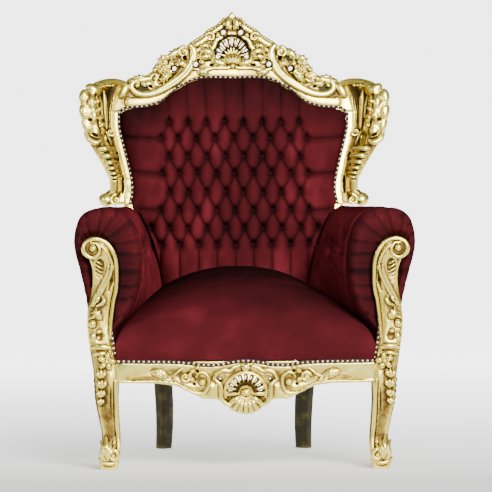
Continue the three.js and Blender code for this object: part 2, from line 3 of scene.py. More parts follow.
import bpy
import numpy as np
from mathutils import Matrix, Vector


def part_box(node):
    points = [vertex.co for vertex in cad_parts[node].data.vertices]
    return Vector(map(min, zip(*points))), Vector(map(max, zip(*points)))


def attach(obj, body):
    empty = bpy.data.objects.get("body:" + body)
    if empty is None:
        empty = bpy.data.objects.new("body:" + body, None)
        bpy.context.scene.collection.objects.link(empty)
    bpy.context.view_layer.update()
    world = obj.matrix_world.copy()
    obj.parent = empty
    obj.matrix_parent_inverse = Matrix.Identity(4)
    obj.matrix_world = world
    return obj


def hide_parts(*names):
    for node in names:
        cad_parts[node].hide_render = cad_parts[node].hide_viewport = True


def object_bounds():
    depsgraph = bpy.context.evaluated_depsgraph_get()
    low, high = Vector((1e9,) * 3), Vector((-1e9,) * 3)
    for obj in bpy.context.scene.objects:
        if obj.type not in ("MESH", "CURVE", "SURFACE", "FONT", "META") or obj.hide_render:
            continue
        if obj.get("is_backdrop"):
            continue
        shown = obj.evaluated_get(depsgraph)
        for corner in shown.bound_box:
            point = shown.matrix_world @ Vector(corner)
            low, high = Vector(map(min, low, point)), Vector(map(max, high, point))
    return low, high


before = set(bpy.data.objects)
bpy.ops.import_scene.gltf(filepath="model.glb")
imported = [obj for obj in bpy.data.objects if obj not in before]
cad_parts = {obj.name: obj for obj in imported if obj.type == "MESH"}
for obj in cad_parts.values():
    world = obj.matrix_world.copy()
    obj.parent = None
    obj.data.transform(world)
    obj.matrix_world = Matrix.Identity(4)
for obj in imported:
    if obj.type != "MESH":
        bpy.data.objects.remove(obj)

cad_box = [list(map(float, corner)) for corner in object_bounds()]

# ---------------------------------------------------------------- camera, floor and light
# A long lens, a little to the left and a little above the seat; a pale floor that runs out of sight,
# glowing brighter behind the chair as painted light and painted darker in front, where the broad lamp
# falls on it; one broad lamp in front, a small one at the left and a faint one behind, in a dim white
# surround.
look_at = Vector((0.0, 0.0, 0.6))
turn, lift, distance = math.radians(-3.0), math.radians(3.1), 16.0
camera = bpy.data.objects.new("camera", bpy.data.cameras.new("camera"))
camera.location = look_at + distance * Vector(
    (math.sin(turn) * math.cos(lift), -math.cos(turn) * math.cos(lift), math.sin(lift)))
camera.rotation_euler = (look_at - camera.location).to_track_quat("-Z", "Y").to_euler()
camera.data.lens = 433.2
camera.data.shift_x = 0.0152
camera.data.shift_y = -0.0205
camera.data.clip_end = 400.0
bpy.context.scene.collection.objects.link(camera)
bpy.context.scene.camera = camera

world = bpy.data.worlds.new("surround")
world.use_nodes = True
world.node_tree.nodes["Background"].inputs["Color"].default_value = (1.0, 1.0, 1.0, 1.0)
world.node_tree.nodes["Background"].inputs["Strength"].default_value = 0.15
bpy.context.scene.world = world

for name, place, aim, size, power in [
        ("key_lamp", (1.5, -5.4, 3.3), (0.0, 0.0, 0.7), 3.0, 950.0),
        ("left_lamp", (-4.2, -3.2, 2.6), (0.0, 0.0, 0.7), 1.0, 80.0),
        ("back_lamp", (-1.5, 3.6, 3.0), (0.0, 0.0, 0.8), 2.0, 20.0)]:
    lamp = bpy.data.objects.new(name, bpy.data.lights.new(name, "AREA"))
    lamp.data.size = size
    lamp.data.energy = power
    lamp.location = place
    lamp.rotation_euler = (Vector(aim) - Vector(place)).to_track_quat("-Z", "Y").to_euler()
    bpy.context.scene.collection.objects.link(lamp)


class Value:
    """One socket of a node tree, so that shader sums are written as plain expressions."""

    def __init__(self, tree, socket):
        self.tree, self.socket = tree, socket

    def _math(self, operation, *others):
        node = self.tree.nodes.new("ShaderNodeMath")
        node.operation = operation
        for place, item in enumerate((self, *others)):
            if isinstance(item, Value):
                self.tree.links.new(item.socket, node.inputs[place])
            else:
                node.inputs[place].default_value = item
        return Value(self.tree, node.outputs[0])

    def __add__(self, other):
        return self._math("ADD", other)

    __radd__ = __add__

    def __mul__(self, other):
        return self._math("MULTIPLY", other)

    __rmul__ = __mul__

    def __sub__(self, other):
        return self._math("SUBTRACT", other)

    def __rsub__(self, other):
        return (self * -1.0) + other

    def __pow__(self, other):
        return self._math("POWER", other)

    def between(self, low, high):
        """0 at `low` and 1 at `high`, held there outside them."""
        return self._math("SUBTRACT", low)._math("DIVIDE", high - low).clamped()

    def clamped(self):
        return self._math("MAXIMUM", 0.0)._math("MINIMUM", 1.0)


class Finish:
    """A material in the making: its node tree, and one method that adds any other node."""

    def __init__(self, name):
        self.material = bpy.data.materials.new(name)
        self.material.use_nodes = True
        self.tree = self.material.node_tree
        self.shader = self.tree.nodes["Principled BSDF"]

    def node(self, kind, settings=None, inputs=None, output=0):
        node = self.tree.nodes.new(kind)
        for key, item in (settings or {}).items():
            if key == "stops":
                node.color_ramp.elements[0].position, node.color_ramp.elements[0].color = item[0]
                node.color_ramp.elements[1].position, node.color_ramp.elements[1].color = item[-1]
                for place, colour in item[1:-1]:
                    node.color_ramp.elements.new(place).color = colour
            else:
                setattr(node, key, item)
        self.feed(node, inputs or {})
        return Value(self.tree, node.outputs[output])

    def feed(self, node, inputs):
        for key, item in inputs.items():
            if isinstance(item, Value):
                self.tree.links.new(item.socket, node.inputs[key])
            else:
                node.inputs[key].default_value = item

    def mix(self, amount, first, second):
        return self.node("ShaderNodeMix", {"data_type": "RGBA"},
                         {0: amount, 6: first, 7: second}, output=2)

    def noise(self, scale, detail=3.0, stretch=(1.0, 1.0, 1.0)):
        place = self.node("ShaderNodeMapping", inputs={
            "Vector": self.node("ShaderNodeTexCoord", output="Object"), "Scale": stretch})
        return self.node("ShaderNodeTexNoise", inputs={
            "Vector": place, "Scale": scale, "Detail": detail})

    def bump(self, height, strength, distance, under=None):
        inputs = {"Height": height, "Strength": strength, "Distance": distance}
        if under:
            inputs["Normal"] = under
        return self.node("ShaderNodeBump", inputs=inputs)


def grey(level):
    return (level, level, level, 1.0)


# Painted light on the floor: it glows, brighter behind the chair, in place of a background lamp, and its
# colour is darker in front, where the broad lamp's light falls.
floor_finish = Finish("floor_glow_and_shade")
away = floor_finish.node("ShaderNodeSeparateXYZ", inputs={
    "Vector": floor_finish.node("ShaderNodeTexCoord", output="Object")}, output=1)
floor_finish.feed(floor_finish.shader, {
    "Base Color": floor_finish.mix(away.between(-2.4, -0.4), grey(0.34), grey(0.85)),
    "Roughness": 0.9, "Emission Strength": 4.0,
    "Emission Color": floor_finish.mix(away.between(-0.7, 3.2), grey(0.03), grey(1.0))})
floor_mesh = bpy.data.meshes.new("floor")
floor_reach = 150.0
floor_mesh.from_pydata([(x * floor_reach, y * floor_reach, 0)
                        for x, y in ((-1, -1), (1, -1), (1, 1), (-1, 1))], [], [(0, 1, 2, 3)])
floor_mesh.materials.append(floor_finish.material)
floor = bpy.data.objects.new("floor", floor_mesh)
bpy.context.scene.collection.objects.link(floor)
floor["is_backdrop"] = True

# ---------------------------------------------------------------- gilding
# Pale gold leaf over a red-brown ground, coloured by how hollow each place is: a painted highlight on whatever
# stands proud, and in every hollow of the carving the leaf rubbed through to the brown ground, rougher and
# duller, with painted shade over it that turns nearly black in the deepest places.
gilding = Finish("gilding")
hollow = gilding.node("ShaderNodeAttribute", {"attribute_name": "hollow"}, output="Fac")
mottle = gilding.noise(34.0, 4.0)
grime = gilding.noise(150.0, 3.0)
worn = gilding.noise(9.0, 2.0)
depth = (hollow + (mottle - 0.5) * 0.16 + (grime - 0.5) * 0.10 + (worn - 0.5) * 0.14).clamped()
highlit_leaf, flat_leaf = (1.0, 0.89, 0.21, 1.0), (0.94, 0.73, 0.13, 1.0)
rubbed_and_shaded_leaf, shaded_brown_ground = (0.50, 0.345, 0.064, 1.0), (0.15, 0.084, 0.021, 1.0)
dirt_and_shade = (0.012, 0.006, 0.002, 1.0)
leaf_colour = gilding.node("ShaderNodeValToRGB", {"stops": [
    (0.38, highlit_leaf), (0.50, flat_leaf), (0.54, rubbed_and_shaded_leaf), (0.60, shaded_brown_ground), (0.71, dirt_and_shade)]},
    {"Fac": depth})
scratches = gilding.noise(420.0, 2.0, (1.0, 1.0, 0.3))
gilding.feed(gilding.shader, {
    "Base Color": leaf_colour,
    "Metallic": (1.0 - depth.between(0.58, 0.78)) * 0.97,
    "Specular Tint": (1.0, 0.86, 0.42, 1.0),
    "Roughness": depth * 0.30 + 0.12 + mottle * 0.14,
    "Normal": gilding.bump(mottle * 0.6 + scratches * 0.15, 0.45, 0.002),
    "Specular IOR Level": 0.15,
})


# ---------------------------------------------------------------- crest rail
# A thick board of beech sawn to a peaked outline, leaning back with the frame, pierced with
# round holes and a fan of drops, and carved in the solid with a shell, scrolls and flowers.
def curve_through(a, b, c, d, t):
    """Places between `b` and `c` on the smooth curve through four points."""
    return 0.5 * (2 * b + (c - a) * t + (2 * a - 5 * b + 4 * c - d) * t ** 2
                  + (3 * b - a - 3 * c + d) * t ** 3)


def spline(points, count):
    """A smooth line through a few points, as `count` evenly spaced steps of its parameter."""
    points = np.asarray(points, float)
    padded = np.vstack([2 * points[0] - points[1], points, 2 * points[-1] - points[-2]])
    at = np.linspace(0, len(points) - 1, count)
    low = np.minimum(at.astype(int), len(points) - 2)
    return curve_through(*(padded[low + k] for k in range(4)), (at - low)[:, None])


def heading(degrees):
    """The cosine and the sine of an angle seen from the front."""
    return math.cos(math.radians(degrees)), math.sin(math.radians(degrees))


def outline_distance(px, py, ring):
    """Distance from places in a plane to a closed outline, negative inside it."""
    flat = np.full(np.broadcast(px, py).shape, 1e9)
    inside = np.zeros(flat.shape, bool)
    for a, b in zip(ring, np.roll(ring, -1, 0)):
        ex, ey = b - a
        t = np.clip(((px - a[0]) * ex + (py - a[1]) * ey) / (ex * ex + ey * ey + 1e-9), 0, 1)
        flat = np.minimum(flat, (px - a[0] - t * ex) ** 2 + (py - a[1] - t * ey) ** 2)
        inside ^= ((a[1] > py) != (b[1] > py)) & (px < ex * (py - a[1]) / (ey + 1e-12) + a[0])
    return np.sqrt(flat) * np.where(inside, -1, 1)


def smeared(field, width):
    """The mean of a field over a cube `width` cells wide."""
    half = width // 2
    for k in range(3):
        margins = [(half + 1, half) if j == k else (0, 0) for j in range(3)]
        total = np.cumsum(np.pad(field, margins, mode="edge"), axis=k)
        high = np.take(total, range(width, total.shape[k]), axis=k)
        low = np.take(total, range(total.shape[k] - width), axis=k)
        field = (high - low) / width
    return field


class Carving:
    """A block of wood as a grid of signed distances, in millimetres, negative inside."""

    def __init__(self, low, high, step):
        self.low, self.step = np.asarray(low, float), step
        count = np.ceil((np.asarray(high) - self.low) / step).astype(int) + 1
        self.axes = [self.low[k] + step * np.arange(count[k]) for k in range(3)]
        self.field = np.full(count, 60.0, np.float32)

    def window(self, low, high):
        """The part of the grid round a box, as slices and as the places along each axis."""
        spans, margin = [], 6.0
        for k in range(3):
            first = int((low[k] - margin - self.low[k]) / self.step)
            last = int((high[k] + margin - self.low[k]) / self.step) + 2
            spans.append(slice(max(first, 0), max(min(last, self.field.shape[k]), 0)))
        x, y, z = (self.axes[k][spans[k]] for k in range(3))
        return tuple(spans), x[:, None, None], y[None, :, None], z[None, None, :]

    def lay(self, spans, distance, blend=0.0, moat=0.0):
        """Adds a form: melted in by `blend`, or set off by a groove `moat` wide."""
        here = self.field[spans]
        if not here.size:
            return
        if moat:
            here = np.maximum(here, moat - distance)
        if blend:
            mix = np.clip(0.5 + 0.5 * (here - distance) / blend, 0, 1)
            here = here * (1 - mix) + distance * mix - blend * mix * (1 - mix)
        else:
            here = np.minimum(here, distance)
        self.field[spans] = here

    def cut(self, spans, distance):
        """Takes a form away."""
        self.field[spans] = np.maximum(self.field[spans], -distance)

    def tube_distance(self, points, radii, flat):
        """Distance to a line thickened by `radii`, and `flat` times as deep as it is wide."""
        points = np.asarray(points, float)
        radii = np.interp(np.linspace(0, 1, len(points)), np.linspace(0, 1, len(radii)), radii)
        grow = radii.max() * max(1.0, flat)
        spans, x, y, z = self.window(points.min(0) - grow, points.max(0) + grow)
        distance = np.full((x.size, y.size, z.size), 30.0, np.float32)
        for a, b, ra, rb in zip(points[:-1], points[1:], radii[:-1], radii[1:]):
            near = []
            for k, axis in enumerate((x.ravel(), y.ravel(), z.ravel())):
                reach = max(ra, rb) * (flat if k == 1 else 1.0) + 7.0
                near.append(slice(*np.searchsorted(axis, [min(a[k], b[k]) - reach,
                                                          max(a[k], b[k]) + reach])))
            px, py, pz = x[near[0]] - a[0], (y[:, near[1]] - a[1]) / flat, z[:, :, near[2]] - a[2]
            ex, ey, ez = b[0] - a[0], (b[1] - a[1]) / flat, b[2] - a[2]
            t = np.clip((px * ex + py * ey + pz * ez) / (ex * ex + ey * ey + ez * ez + 1e-9), 0, 1)
            gap = np.sqrt((px - t * ex) ** 2 + (py - t * ey) ** 2 + (pz - t * ez) ** 2)
            cell = tuple(near)
            distance[cell] = np.minimum(distance[cell], gap - (ra + (rb - ra) * t))
        return spans, distance

    def tube(self, points, radii, flat=1.0, blend=1.5, moat=0.0, steps=0):
        """A rounded moulding along a smooth line."""
        points = spline(points, steps or 5 * len(points)) if len(points) > 2 else points
        self.lay(*self.tube_distance(points, radii, flat), blend, moat)

    def groove(self, points, radii, flat=1.0, steps=0):
        """A rounded channel along a smooth line, or a bored hole along a straight one."""
        points = spline(points, steps or 5 * len(points)) if len(points) > 2 else points
        self.cut(*self.tube_distance(points, radii, flat))

    def blob_distance(self, centre, radii, tilt=0.0):
        """Distance to an egg shape, turned by `tilt` degrees as seen from the front."""
        rx, ry, rz = radii
        reach = max(rx, rz)
        spans, x, y, z = self.window(np.subtract(centre, (reach, ry, reach)),
                                     np.add(centre, (reach, ry, reach)))
        c, s = heading(tilt)
        px, py, pz = x - centre[0], y - centre[1], z - centre[2]
        u, v = (px * c + pz * s), (pz * c - px * s)
        k0 = np.sqrt((u / rx) ** 2 + (py / ry) ** 2 + (v / rz) ** 2)
        k1 = np.sqrt((u / rx ** 2) ** 2 + (py / ry ** 2) ** 2 + (v / rz ** 2) ** 2) + 1e-6
        return spans, (k0 * (k0 - 1) / k1).astype(np.float32)

    def blob(self, centre, radii, tilt=0.0, blend=1.5, moat=0.0):
        self.lay(*self.blob_distance(centre, radii, tilt), blend, moat)

    def dent(self, centre, radii, tilt=0.0):
        self.cut(*self.blob_distance(centre, radii, tilt))

    def flower(self, centre, radius, petals, depth, start):
        """A flower with hollowed petals round a button."""
        (x, y, z), moat = centre, 0.8
        for k in range(petals):
            angle = start + 360.0 * k / petals
            c, s = heading(angle)
            self.blob((x + 0.58 * radius * c, y, z + 0.58 * radius * s),
                      (0.45 * radius, depth, 0.36 * radius), angle, 0.0, moat)
            self.dent((x + 0.72 * radius * c, y - depth * 1.05, z + 0.72 * radius * s),
                      (0.26 * radius, depth * 0.55, 0.14 * radius), angle)
        self.blob((x, y - 0.4 * depth, z), (0.26 * radius, depth, 0.26 * radius), 0, 0.0, moat)

    def leaf(self, spine, width, depth, lobes):
        """An acanthus leaf: one solid blade with rounded lobes along its edges and cut veins."""
        moat, curl = 0.9, 0.9
        line = spline(spine, 40)
        blade = width * np.array([0.10, 0.26, 0.34, 0.33, 0.24, 0.05])
        self.tube(line, blade, depth / (0.36 * width), 0.0, moat, 24)
        veins = []
        for k in range(lobes):
            t = (k + 0.6) / (lobes + 0.35)
            at = line[int(39 * t)]
            ahead = line[min(int(39 * t) + 3, 39)] - line[max(int(39 * t) - 3, 0)]
            ahead = ahead / (np.linalg.norm(ahead) + 1e-9)
            across = np.array([-ahead[2], 0, ahead[0]])
            reach = width * 0.42 * math.sin(math.pi * (0.16 + 0.70 * t)) ** 0.7
            r = width * 0.40 / lobes
            for side in (-1, 1):
                tip = at + reach * (across * side + ahead * curl * 0.8)
                root = at + reach * across * side * 0.45
                self.tube([root, tip], [r * 1.1, r * 0.8], depth / (2.0 * r), 1.0)
                notch = at + ahead * r * 1.2
                outward = reach * (across * side * 1.1 + ahead * curl * 0.9)
                veins.append([notch + (0, -depth, 0), notch + outward + (0, -depth * 0.5, 0)])
        for vein in veins:
            self.groove(vein, [1.0, 1.5], 1.6)
        self.groove([p + (0, -depth * 1.05, 0) for p in line[2:36]], [1.5, 1.5, 0.8], 1.4, 30)

    def scroll(self, centre, radius, start, turns, thick, sign=1, depth=1.0):
        """A volute that winds inwards from `radius` to its eye."""
        moat = 0.8
        t = np.linspace(0, 1, int(14 * turns) + 2)
        angle = np.radians(start) + sign * t * turns * 2 * np.pi
        r = radius * (1 - 0.8 * t)
        line = np.stack([centre[0] + r * np.cos(angle), centre[1] - 3.0 * t * depth,
                         centre[2] + r * np.sin(angle)], 1)
        self.tube(line, [thick, thick * 0.55], depth, 0.0, moat, len(line))
        self.blob((centre[0], centre[1] - 3.0 * depth, centre[2]),
                  (thick * 0.9, thick * depth, thick * 0.9), 0, 0.0, moat)

    def board_distance(self, outline, front, back, round_edge):
        """A flat board seen from the front, its edges rounded over."""
        spans, x, y, z = self.window((self.axes[0][0], front, self.axes[2][0]),
                                     (self.axes[0][-1], back, self.axes[2][-1]))
        flat = outline_distance(x[:, 0], z[0], np.asarray(outline, float))
        deep = np.abs(y - 0.5 * (front + back)) - 0.5 * (back - front)
        u = np.maximum(flat[:, None, :] + round_edge, 0)
        v = np.maximum(deep + round_edge, 0)
        shell = np.sqrt(u * u + v * v) - round_edge
        core = np.minimum(np.maximum(flat[:, None, :] + round_edge, deep + round_edge), 0)
        return spans, (shell + core).astype(np.float32)

    def board(self, outline, front, back, round_edge):
        self.lay(*self.board_distance(outline, front, back, round_edge))

    def skin(self):
        """The surface as quads whose corners sit at the mean crossing of each cell."""
        f = self.field
        for k in range(3):
            edge = [slice(None)] * 3
            for side in (0, -1):
                edge[k] = side
                f[tuple(edge)] = np.maximum(f[tuple(edge)], 1.0)
        solid = f < 0
        corners = [(i, j, k) for i in (0, 1) for j in (0, 1) for k in (0, 1)]
        cells = tuple(n - 1 for n in f.shape)
        filled = sum(solid[i:i + cells[0], j:j + cells[1], k:k + cells[2]].astype(np.int8)
                     for i, j, k in corners)
        active = np.argwhere((filled > 0) & (filled < 8))
        at = {c: f[tuple((active + c).T)] for c in corners}
        total, hits = np.zeros((len(active), 3)), np.zeros(len(active))
        for c in corners:
            for k in range(3):
                if c[k]:
                    continue
                d = tuple(c[j] + (j == k) for j in range(3))
                crossed = (at[c] < 0) != (at[d] < 0)
                t = np.where(crossed, at[c] / np.where(crossed, at[c] - at[d], 1), 0)
                point = np.tile(np.array(c, float), (len(active), 1))
                point[:, k] += t
                total += point * crossed[:, None]
                hits += crossed
        place = total / hits[:, None]
        verts = self.low + self.step * (active + place)
        number = np.full(cells, -1, np.int32)
        number[tuple(active.T)] = np.arange(len(active))
        faces = []
        for k in range(3):
            i, j = [(1, 2), (2, 0), (0, 1)][k]
            a = np.take(solid, range(f.shape[k] - 1), axis=k)
            b = np.take(solid, range(1, f.shape[k]), axis=k)
            for flip in (False, True):
                edge = np.argwhere((a & ~b) if not flip else (~a & b))
                edge = edge[(edge[:, i] > 0) & (edge[:, j] > 0)
                            & (edge[:, i] < cells[i]) & (edge[:, j] < cells[j])]
                ring = []
                for di, dj in ((1, 1), (0, 1), (0, 0), (1, 0)):
                    cell = edge.copy()
                    cell[:, i] -= di
                    cell[:, j] -= dj
                    ring.append(number[tuple(cell.T)])
                quad = np.stack(ring, 1)
                faces.append(quad[:, ::-1] if flip else quad)
        # how much wood stands round each corner: under a half on what is proud, over it in a hollow
        wood = np.clip(0.5 - f / self.step, 0, 1)
        hollow = 0
        for width, share in ((5, 0.35), (9, 0.4), (17, 0.25)):
            near = smeared(wood, width)
            for c in corners:
                weight = np.prod(np.where(c, place, 1 - place), axis=1)
                hollow = hollow + share * near[tuple((active + c).T)] * weight
        return verts, np.concatenate(faces), hollow


class Half:
    """One half of a carving: places are given for the right half, and turned over for the left."""

    def __init__(self, wood, side):
        self.wood, self.side = wood, side

    def __getattr__(self, form):
        def carve(places, *rest, **options):
            return getattr(self.wood, form)(np.multiply(places, (self.side, 1, 1)), *rest, **options)
        return carve


millimetre = 0.001


def piece_from(name, verts, faces, finish, attributes=None):
    """A mesh object from arrays given in millimetres."""
    verts = verts * millimetre
    mesh = bpy.data.meshes.new(name)
    faces = np.asarray(faces, np.int32)
    mesh.vertices.add(len(verts))
    mesh.vertices.foreach_set("co", np.ascontiguousarray(verts, np.float32).ravel())
    mesh.loops.add(faces.size)
    mesh.loops.foreach_set("vertex_index", faces.ravel())
    mesh.polygons.add(len(faces))
    starts = np.arange(0, faces.size, faces.shape[1], dtype=np.int32)
    mesh.polygons.foreach_set("loop_start", starts)
    mesh.update(calc_edges=True)
    mesh.validate()
    mesh.polygons.foreach_set("use_smooth", np.full(len(mesh.polygons), True))
    for key, values in (attributes or {}).items():
        layer = mesh.attributes.new(key, "FLOAT", "POINT")
        layer.data.foreach_set("value", np.ascontiguousarray(values, np.float32))
    mesh.materials.append(finish.material)
    piece = bpy.data.objects.new(name, mesh)
    bpy.context.scene.collection.objects.link(piece)
    return piece


def thin_out(piece, share):
    """Takes faces away where the surface is flat, until `share` of them is left."""
    modifier = piece.modifiers.new("thin_out", "DECIMATE")
    modifier.ratio = share
    thinned = piece.evaluated_get(bpy.context.evaluated_depsgraph_get())
    mesh = bpy.data.meshes.new_from_object(thinned)
    piece.modifiers.clear()
    piece.data = mesh


rake_slope, rake_start, rake_level = 0.173, 209.0, 450.0
frame_thickness = 34.0


def rake(z):
    """Where the front of the leaning back frame stands, in millimetres."""
    return rake_start + rake_slope * (z - rake_level)


crest_top = [
    (0, 1200), (14, 1184), (24, 1180), (40, 1163), (64, 1150), (78, 1136), (95, 1125), (111, 1115),
    (119, 1107), (144, 1106), (160, 1096), (180, 1082), (200, 1066), (213, 1054), (221, 1036),
    (240, 1024), (257, 1017), (272, 1021), (287, 1016)]
velvet_edge = [
    (0, 1017), (50, 1018), (94, 1016), (130, 1003), (170, 980), (195, 958), (214, 947), (242, 939),
    (283, 936), (301, 932), (310, 922), (310, 885), (300, 840), (288, 793), (277, 743), (275, 710),
    (281, 676)]


def along_segment(px, pz, a, b):
    """Distance from points to a segment, the share along it, and the side it lies on."""
    ex, ez = b[0] - a[0], b[1] - a[1]
    t = np.clip(((px - a[0]) * ex + (pz - a[1]) * ez) / (ex * ex + ez * ez + 1e-9), 0, 1)
    dx, dz = px - a[0] - t * ex, pz - a[1] - t * ez
    return np.hypot(dx, dz), t, np.sign(dx * ez - dz * ex)


def paint_shade_along(hollow, verts, a, b, radius, amount, soft=3.0):
    """Paints shade on the leaf round a line seen from the front; below zero it paints a highlight instead."""
    gap = along_segment(verts[:, 0], verts[:, 2], a, b)[0]
    front_half = verts[:, 1] < 20
    return hollow + amount * np.clip((radius + soft - gap) / soft, 0, 1) * front_half


def both_halves(outline):
    """A whole outline from its right half."""
    return outline + [(-x, z) for x, z in outline[::-1]]


carving_step = 1.6


def shell_drop(angle, length):
    """The two ends of one of the drops that fan out from the shell's hub, seen from the front."""
    c, s = heading(angle)
    return [(r * c, 1074 + 1.14 * r * s) for r in (38 - length, 38 + length * 0.6)]


def build_crest():
    wood = Carving((-338, -24, 905), (338, 40, 1206), carving_step)
    under = [(x * 0.97, z - 22) for x, z in velvet_edge[:8]]
    right_edge = crest_top + [(305, 990), (322, 962), (331, 928), (268, 928)] + under[::-1]
    wood.board(both_halves(right_edge), 2, frame_thickness, 4.0)
    # the ground between the mouldings lies lower than they do
    for side in (-1, 1):
        half = Half(wood, side)
        strip = [(x, 1, z + 17) for x, z in velvet_edge[:9]]
        half.tube(strip, [15], 0.32, 2.0, steps=60)
        half.dent((62, 0, 1084), (34, 9, 20), side * -20)
        half.dent((92, 0, 1082), (18, 9, 26), side * 20)
        half.dent((176, 0, 1030), (44, 8, 15), side * -40)
    for side in (-1, 1):
        half = Half(wood, side)
        # border moulding up to the peak, with a row of beads along its outer edge
        border = [(x, 2, z) for x, z in
                  [(104, 1108), (88, 1117), (72, 1128), (52, 1145), (30, 1160), (12, 1174)]]
        half.tube(border, [9, 9, 9, 8, 8, 7], 0.75, 1.5, steps=40)
        for bead in spline([(x, 6, z) for x, z in crest_top[2:9]], 19):
            half.blob(bead, (4.4, 8, 4.4), 0, 0.6)
        # great C-scroll beside the velvet strip, from its top curl to the corner volute
        great_c = [(x, -4, z) for x, z in
                   [(116, 1108), (107, 1094), (109, 1070), (124, 1040), (150, 1015), (188, 991),
                    (222, 977), (250, 974), (272, 983), (279, 998), (270, 1010), (259, 1005)]]
        half.tube(great_c, [7, 10, 12, 12, 12, 11, 10, 9, 8, 7, 6, 4], 0.70, 0.0, 1.2, 90)
        channel = [(x + 1.5, y - 9.5, z + 2.5) for x, y, z in great_c[1:9]]
        half.groove(channel, [2.2, 3.6, 3.6, 2.8, 1.6], 1.0, 70)
        half.blob((262, -9, 999), (6, 6, 6), 0, 0.0, 0.8)
        # inner C that frames the shell
        brow = [(x, -2, z) for x, z in
                [(102, 1092), (84, 1098), (66, 1096), (52, 1104), (44, 1122), (30, 1130)]]
        half.tube(brow, [5, 7, 7, 7, 6, 5], 0.75, 0.0, 0.9, 40)
        # lower moulding with its cusp, leaf cluster and dark slots
        cusp = [(x, -3, z) for x, z in
                [(2, 1054), (12, 1047), (34, 1046), (54, 1046), (72, 1042), (88, 1040), (104, 1044)]]
        half.tube(cusp, [4, 5, 5, 5, 6, 6, 5], 1.0, 0.0, 0.8, 40)
        half.leaf([(20, -4, 1056), (38, -5, 1062), (60, -4, 1070)], 24, 7, 3)
        half.leaf([(98, -4, 1034), (82, -5, 1036), (66, -4, 1030)], 22, 7, 2)
        half.dent((58, 0, 1054), (6.5, 14, 3.4), side * -8)
        # bunches of leaves on the ground between the mouldings
        half.leaf([(50, -2, 1080), (68, -6, 1092), (94, -2, 1094)], 26, 8, 3)
        half.leaf([(56, -2, 1076), (74, -5, 1078), (98, -2, 1072)], 20, 8, 3)
        half.leaf([(60, -2, 1108), (76, -5, 1108), (92, -2, 1104)], 16, 6, 2)
        half.blob((84, -2, 1062), (10, 7, 6), side * 20, 0.0, 0.8)
        half.blob((40, -2, 1136), (8, 7, 6), side * -40, 0.0, 0.8)
        half.leaf([(128, -2, 1064), (142, -5, 1058), (152, -2, 1066)], 20, 7, 2)
        half.leaf([(176, -2, 1072), (192, -6, 1074), (206, -2, 1062)], 20, 7, 3)
        half.leaf([(172, -2, 1030), (184, -6, 1022), (200, -2, 1006)], 20, 7, 3)
        half.blob((168, -2, 1058), (9, 7, 7), side * 40, 0.0, 0.8)
        half.blob((214, -2, 1042), (8, 7, 7), side * 10, 0.0, 0.8)
        half.leaf([(236, -2, 1018), (256, -5, 1022), (276, -2, 1018)], 16, 7, 3)
        # rosette and leaves near the peak
        half.scroll((61, -4, 1131), 13, 90 - side * 60, 1.2, 3.8, side, 1.2)
        half.leaf([(4, -3, 1150), (12, -7, 1166), (8, -4, 1188)], 22, 8, 3)
        half.blob((20, -3, 1168), (7, 7, 9), side * 30, 0.0, 0.8)
        # top curl, flower and foliage on the shoulder
        half.scroll((134, -3, 1090), 15, 90, 1.3, 5, -side, 1.3)
        half.leaf([(146, -3, 1096), (162, -5, 1086), (178, -3, 1070)], 26, 8, 3)
        half.flower((192, -4, 1050), 20, 6, 8, 60)
        half.leaf([(150, -3, 1056), (168, -5, 1040), (196, -3, 1020)], 24, 8, 4)
        half.scroll((214, -3, 1020), 12, 200, 1.1, 4, side, 1.2)
        half.leaf([(252, -3, 1002), (236, -5, 1004), (216, -3, 1002)], 22, 7, 3)
        half.tube([(226, 0, 1020), (250, -2, 1014), (282, 0, 1010)], [5, 7, 6], 0.9, 0.0, 0.8)
        half.blob((300, -2, 984), (12, 9, 24), side * 30, 3.0)
        # holes through the board, each with a chamfered lip
        for x, z, r in ((24, 1143, 6.6), (101, 1056, 6.6), (160, 1044, 6.2)):
            wood.lay(*half.blob_distance((x, -2, z), (r + 5, 9, r + 5)), 2.0)
            half.groove([(x, -30, z), (x, 50, z)], [r])
            half.dent((x, -10, z), (r + 3.4, 8, r + 3.4))
        half.dent((131, -1, 1074), (6, 16, 7.5), side * -25)
        half.dent((226, -1, 996), (6.5, 14, 4), side * 25)
        half.groove([(x, -2, z + 30) for x, z in velvet_edge[:9]], [2.2], 1.6, 60)
    # shell: rays from an oval hub, with drops pierced between them
    wood.dent((0, 0, 1092), (44, 9, 44))
    for angle in (-8, 14, 36, 58, 79, 101, 122, 144, 166, 188):
        c, s = heading(angle)
        wood.tube([(12 * c, -1, 1074 + 12 * s), (42 * c, 1, 1074 + 48 * s)], [2.6, 4.6], 1.6, 1.0)
    rim = [(50 * math.cos(a), 3, 1076 + 58 * math.sin(a)) for a in np.radians(range(6, 175, 14))]
    wood.groove(rim, [3.0], 1.6)
    shell_drops = [(3, 3), (25, 9), (47, 11), (68, 12), (90, 9), (112, 12), (133, 11), (155, 9), (177, 3)]
    for angle, length in shell_drops:
        r = 5.6 if length == 3 else 4.6 if angle == 90 else 3.4
        for y in np.arange(-20, 44, 4.0):
            wood.groove([(x, y, z) for x, z in shell_drop(angle, length)], [r * 0.5, r])
    wood.blob((0, -3, 1069), (25, 9, 15), 0, 0.0, 1.2)
    for angle in (30, 54, 78, 102, 126, 150):
        c, s = heading(angle)
        wood.groove([(6 * c, -12, 1056 + 6 * s), (30 * c, -8, 1056 + 30 * s)], [0.8, 1.7], 1.6)
    wood.blob((0, -6, 1052), (6, 8, 9), 0, 0.0, 0.8)
    verts, faces, hollow = wood.skin()
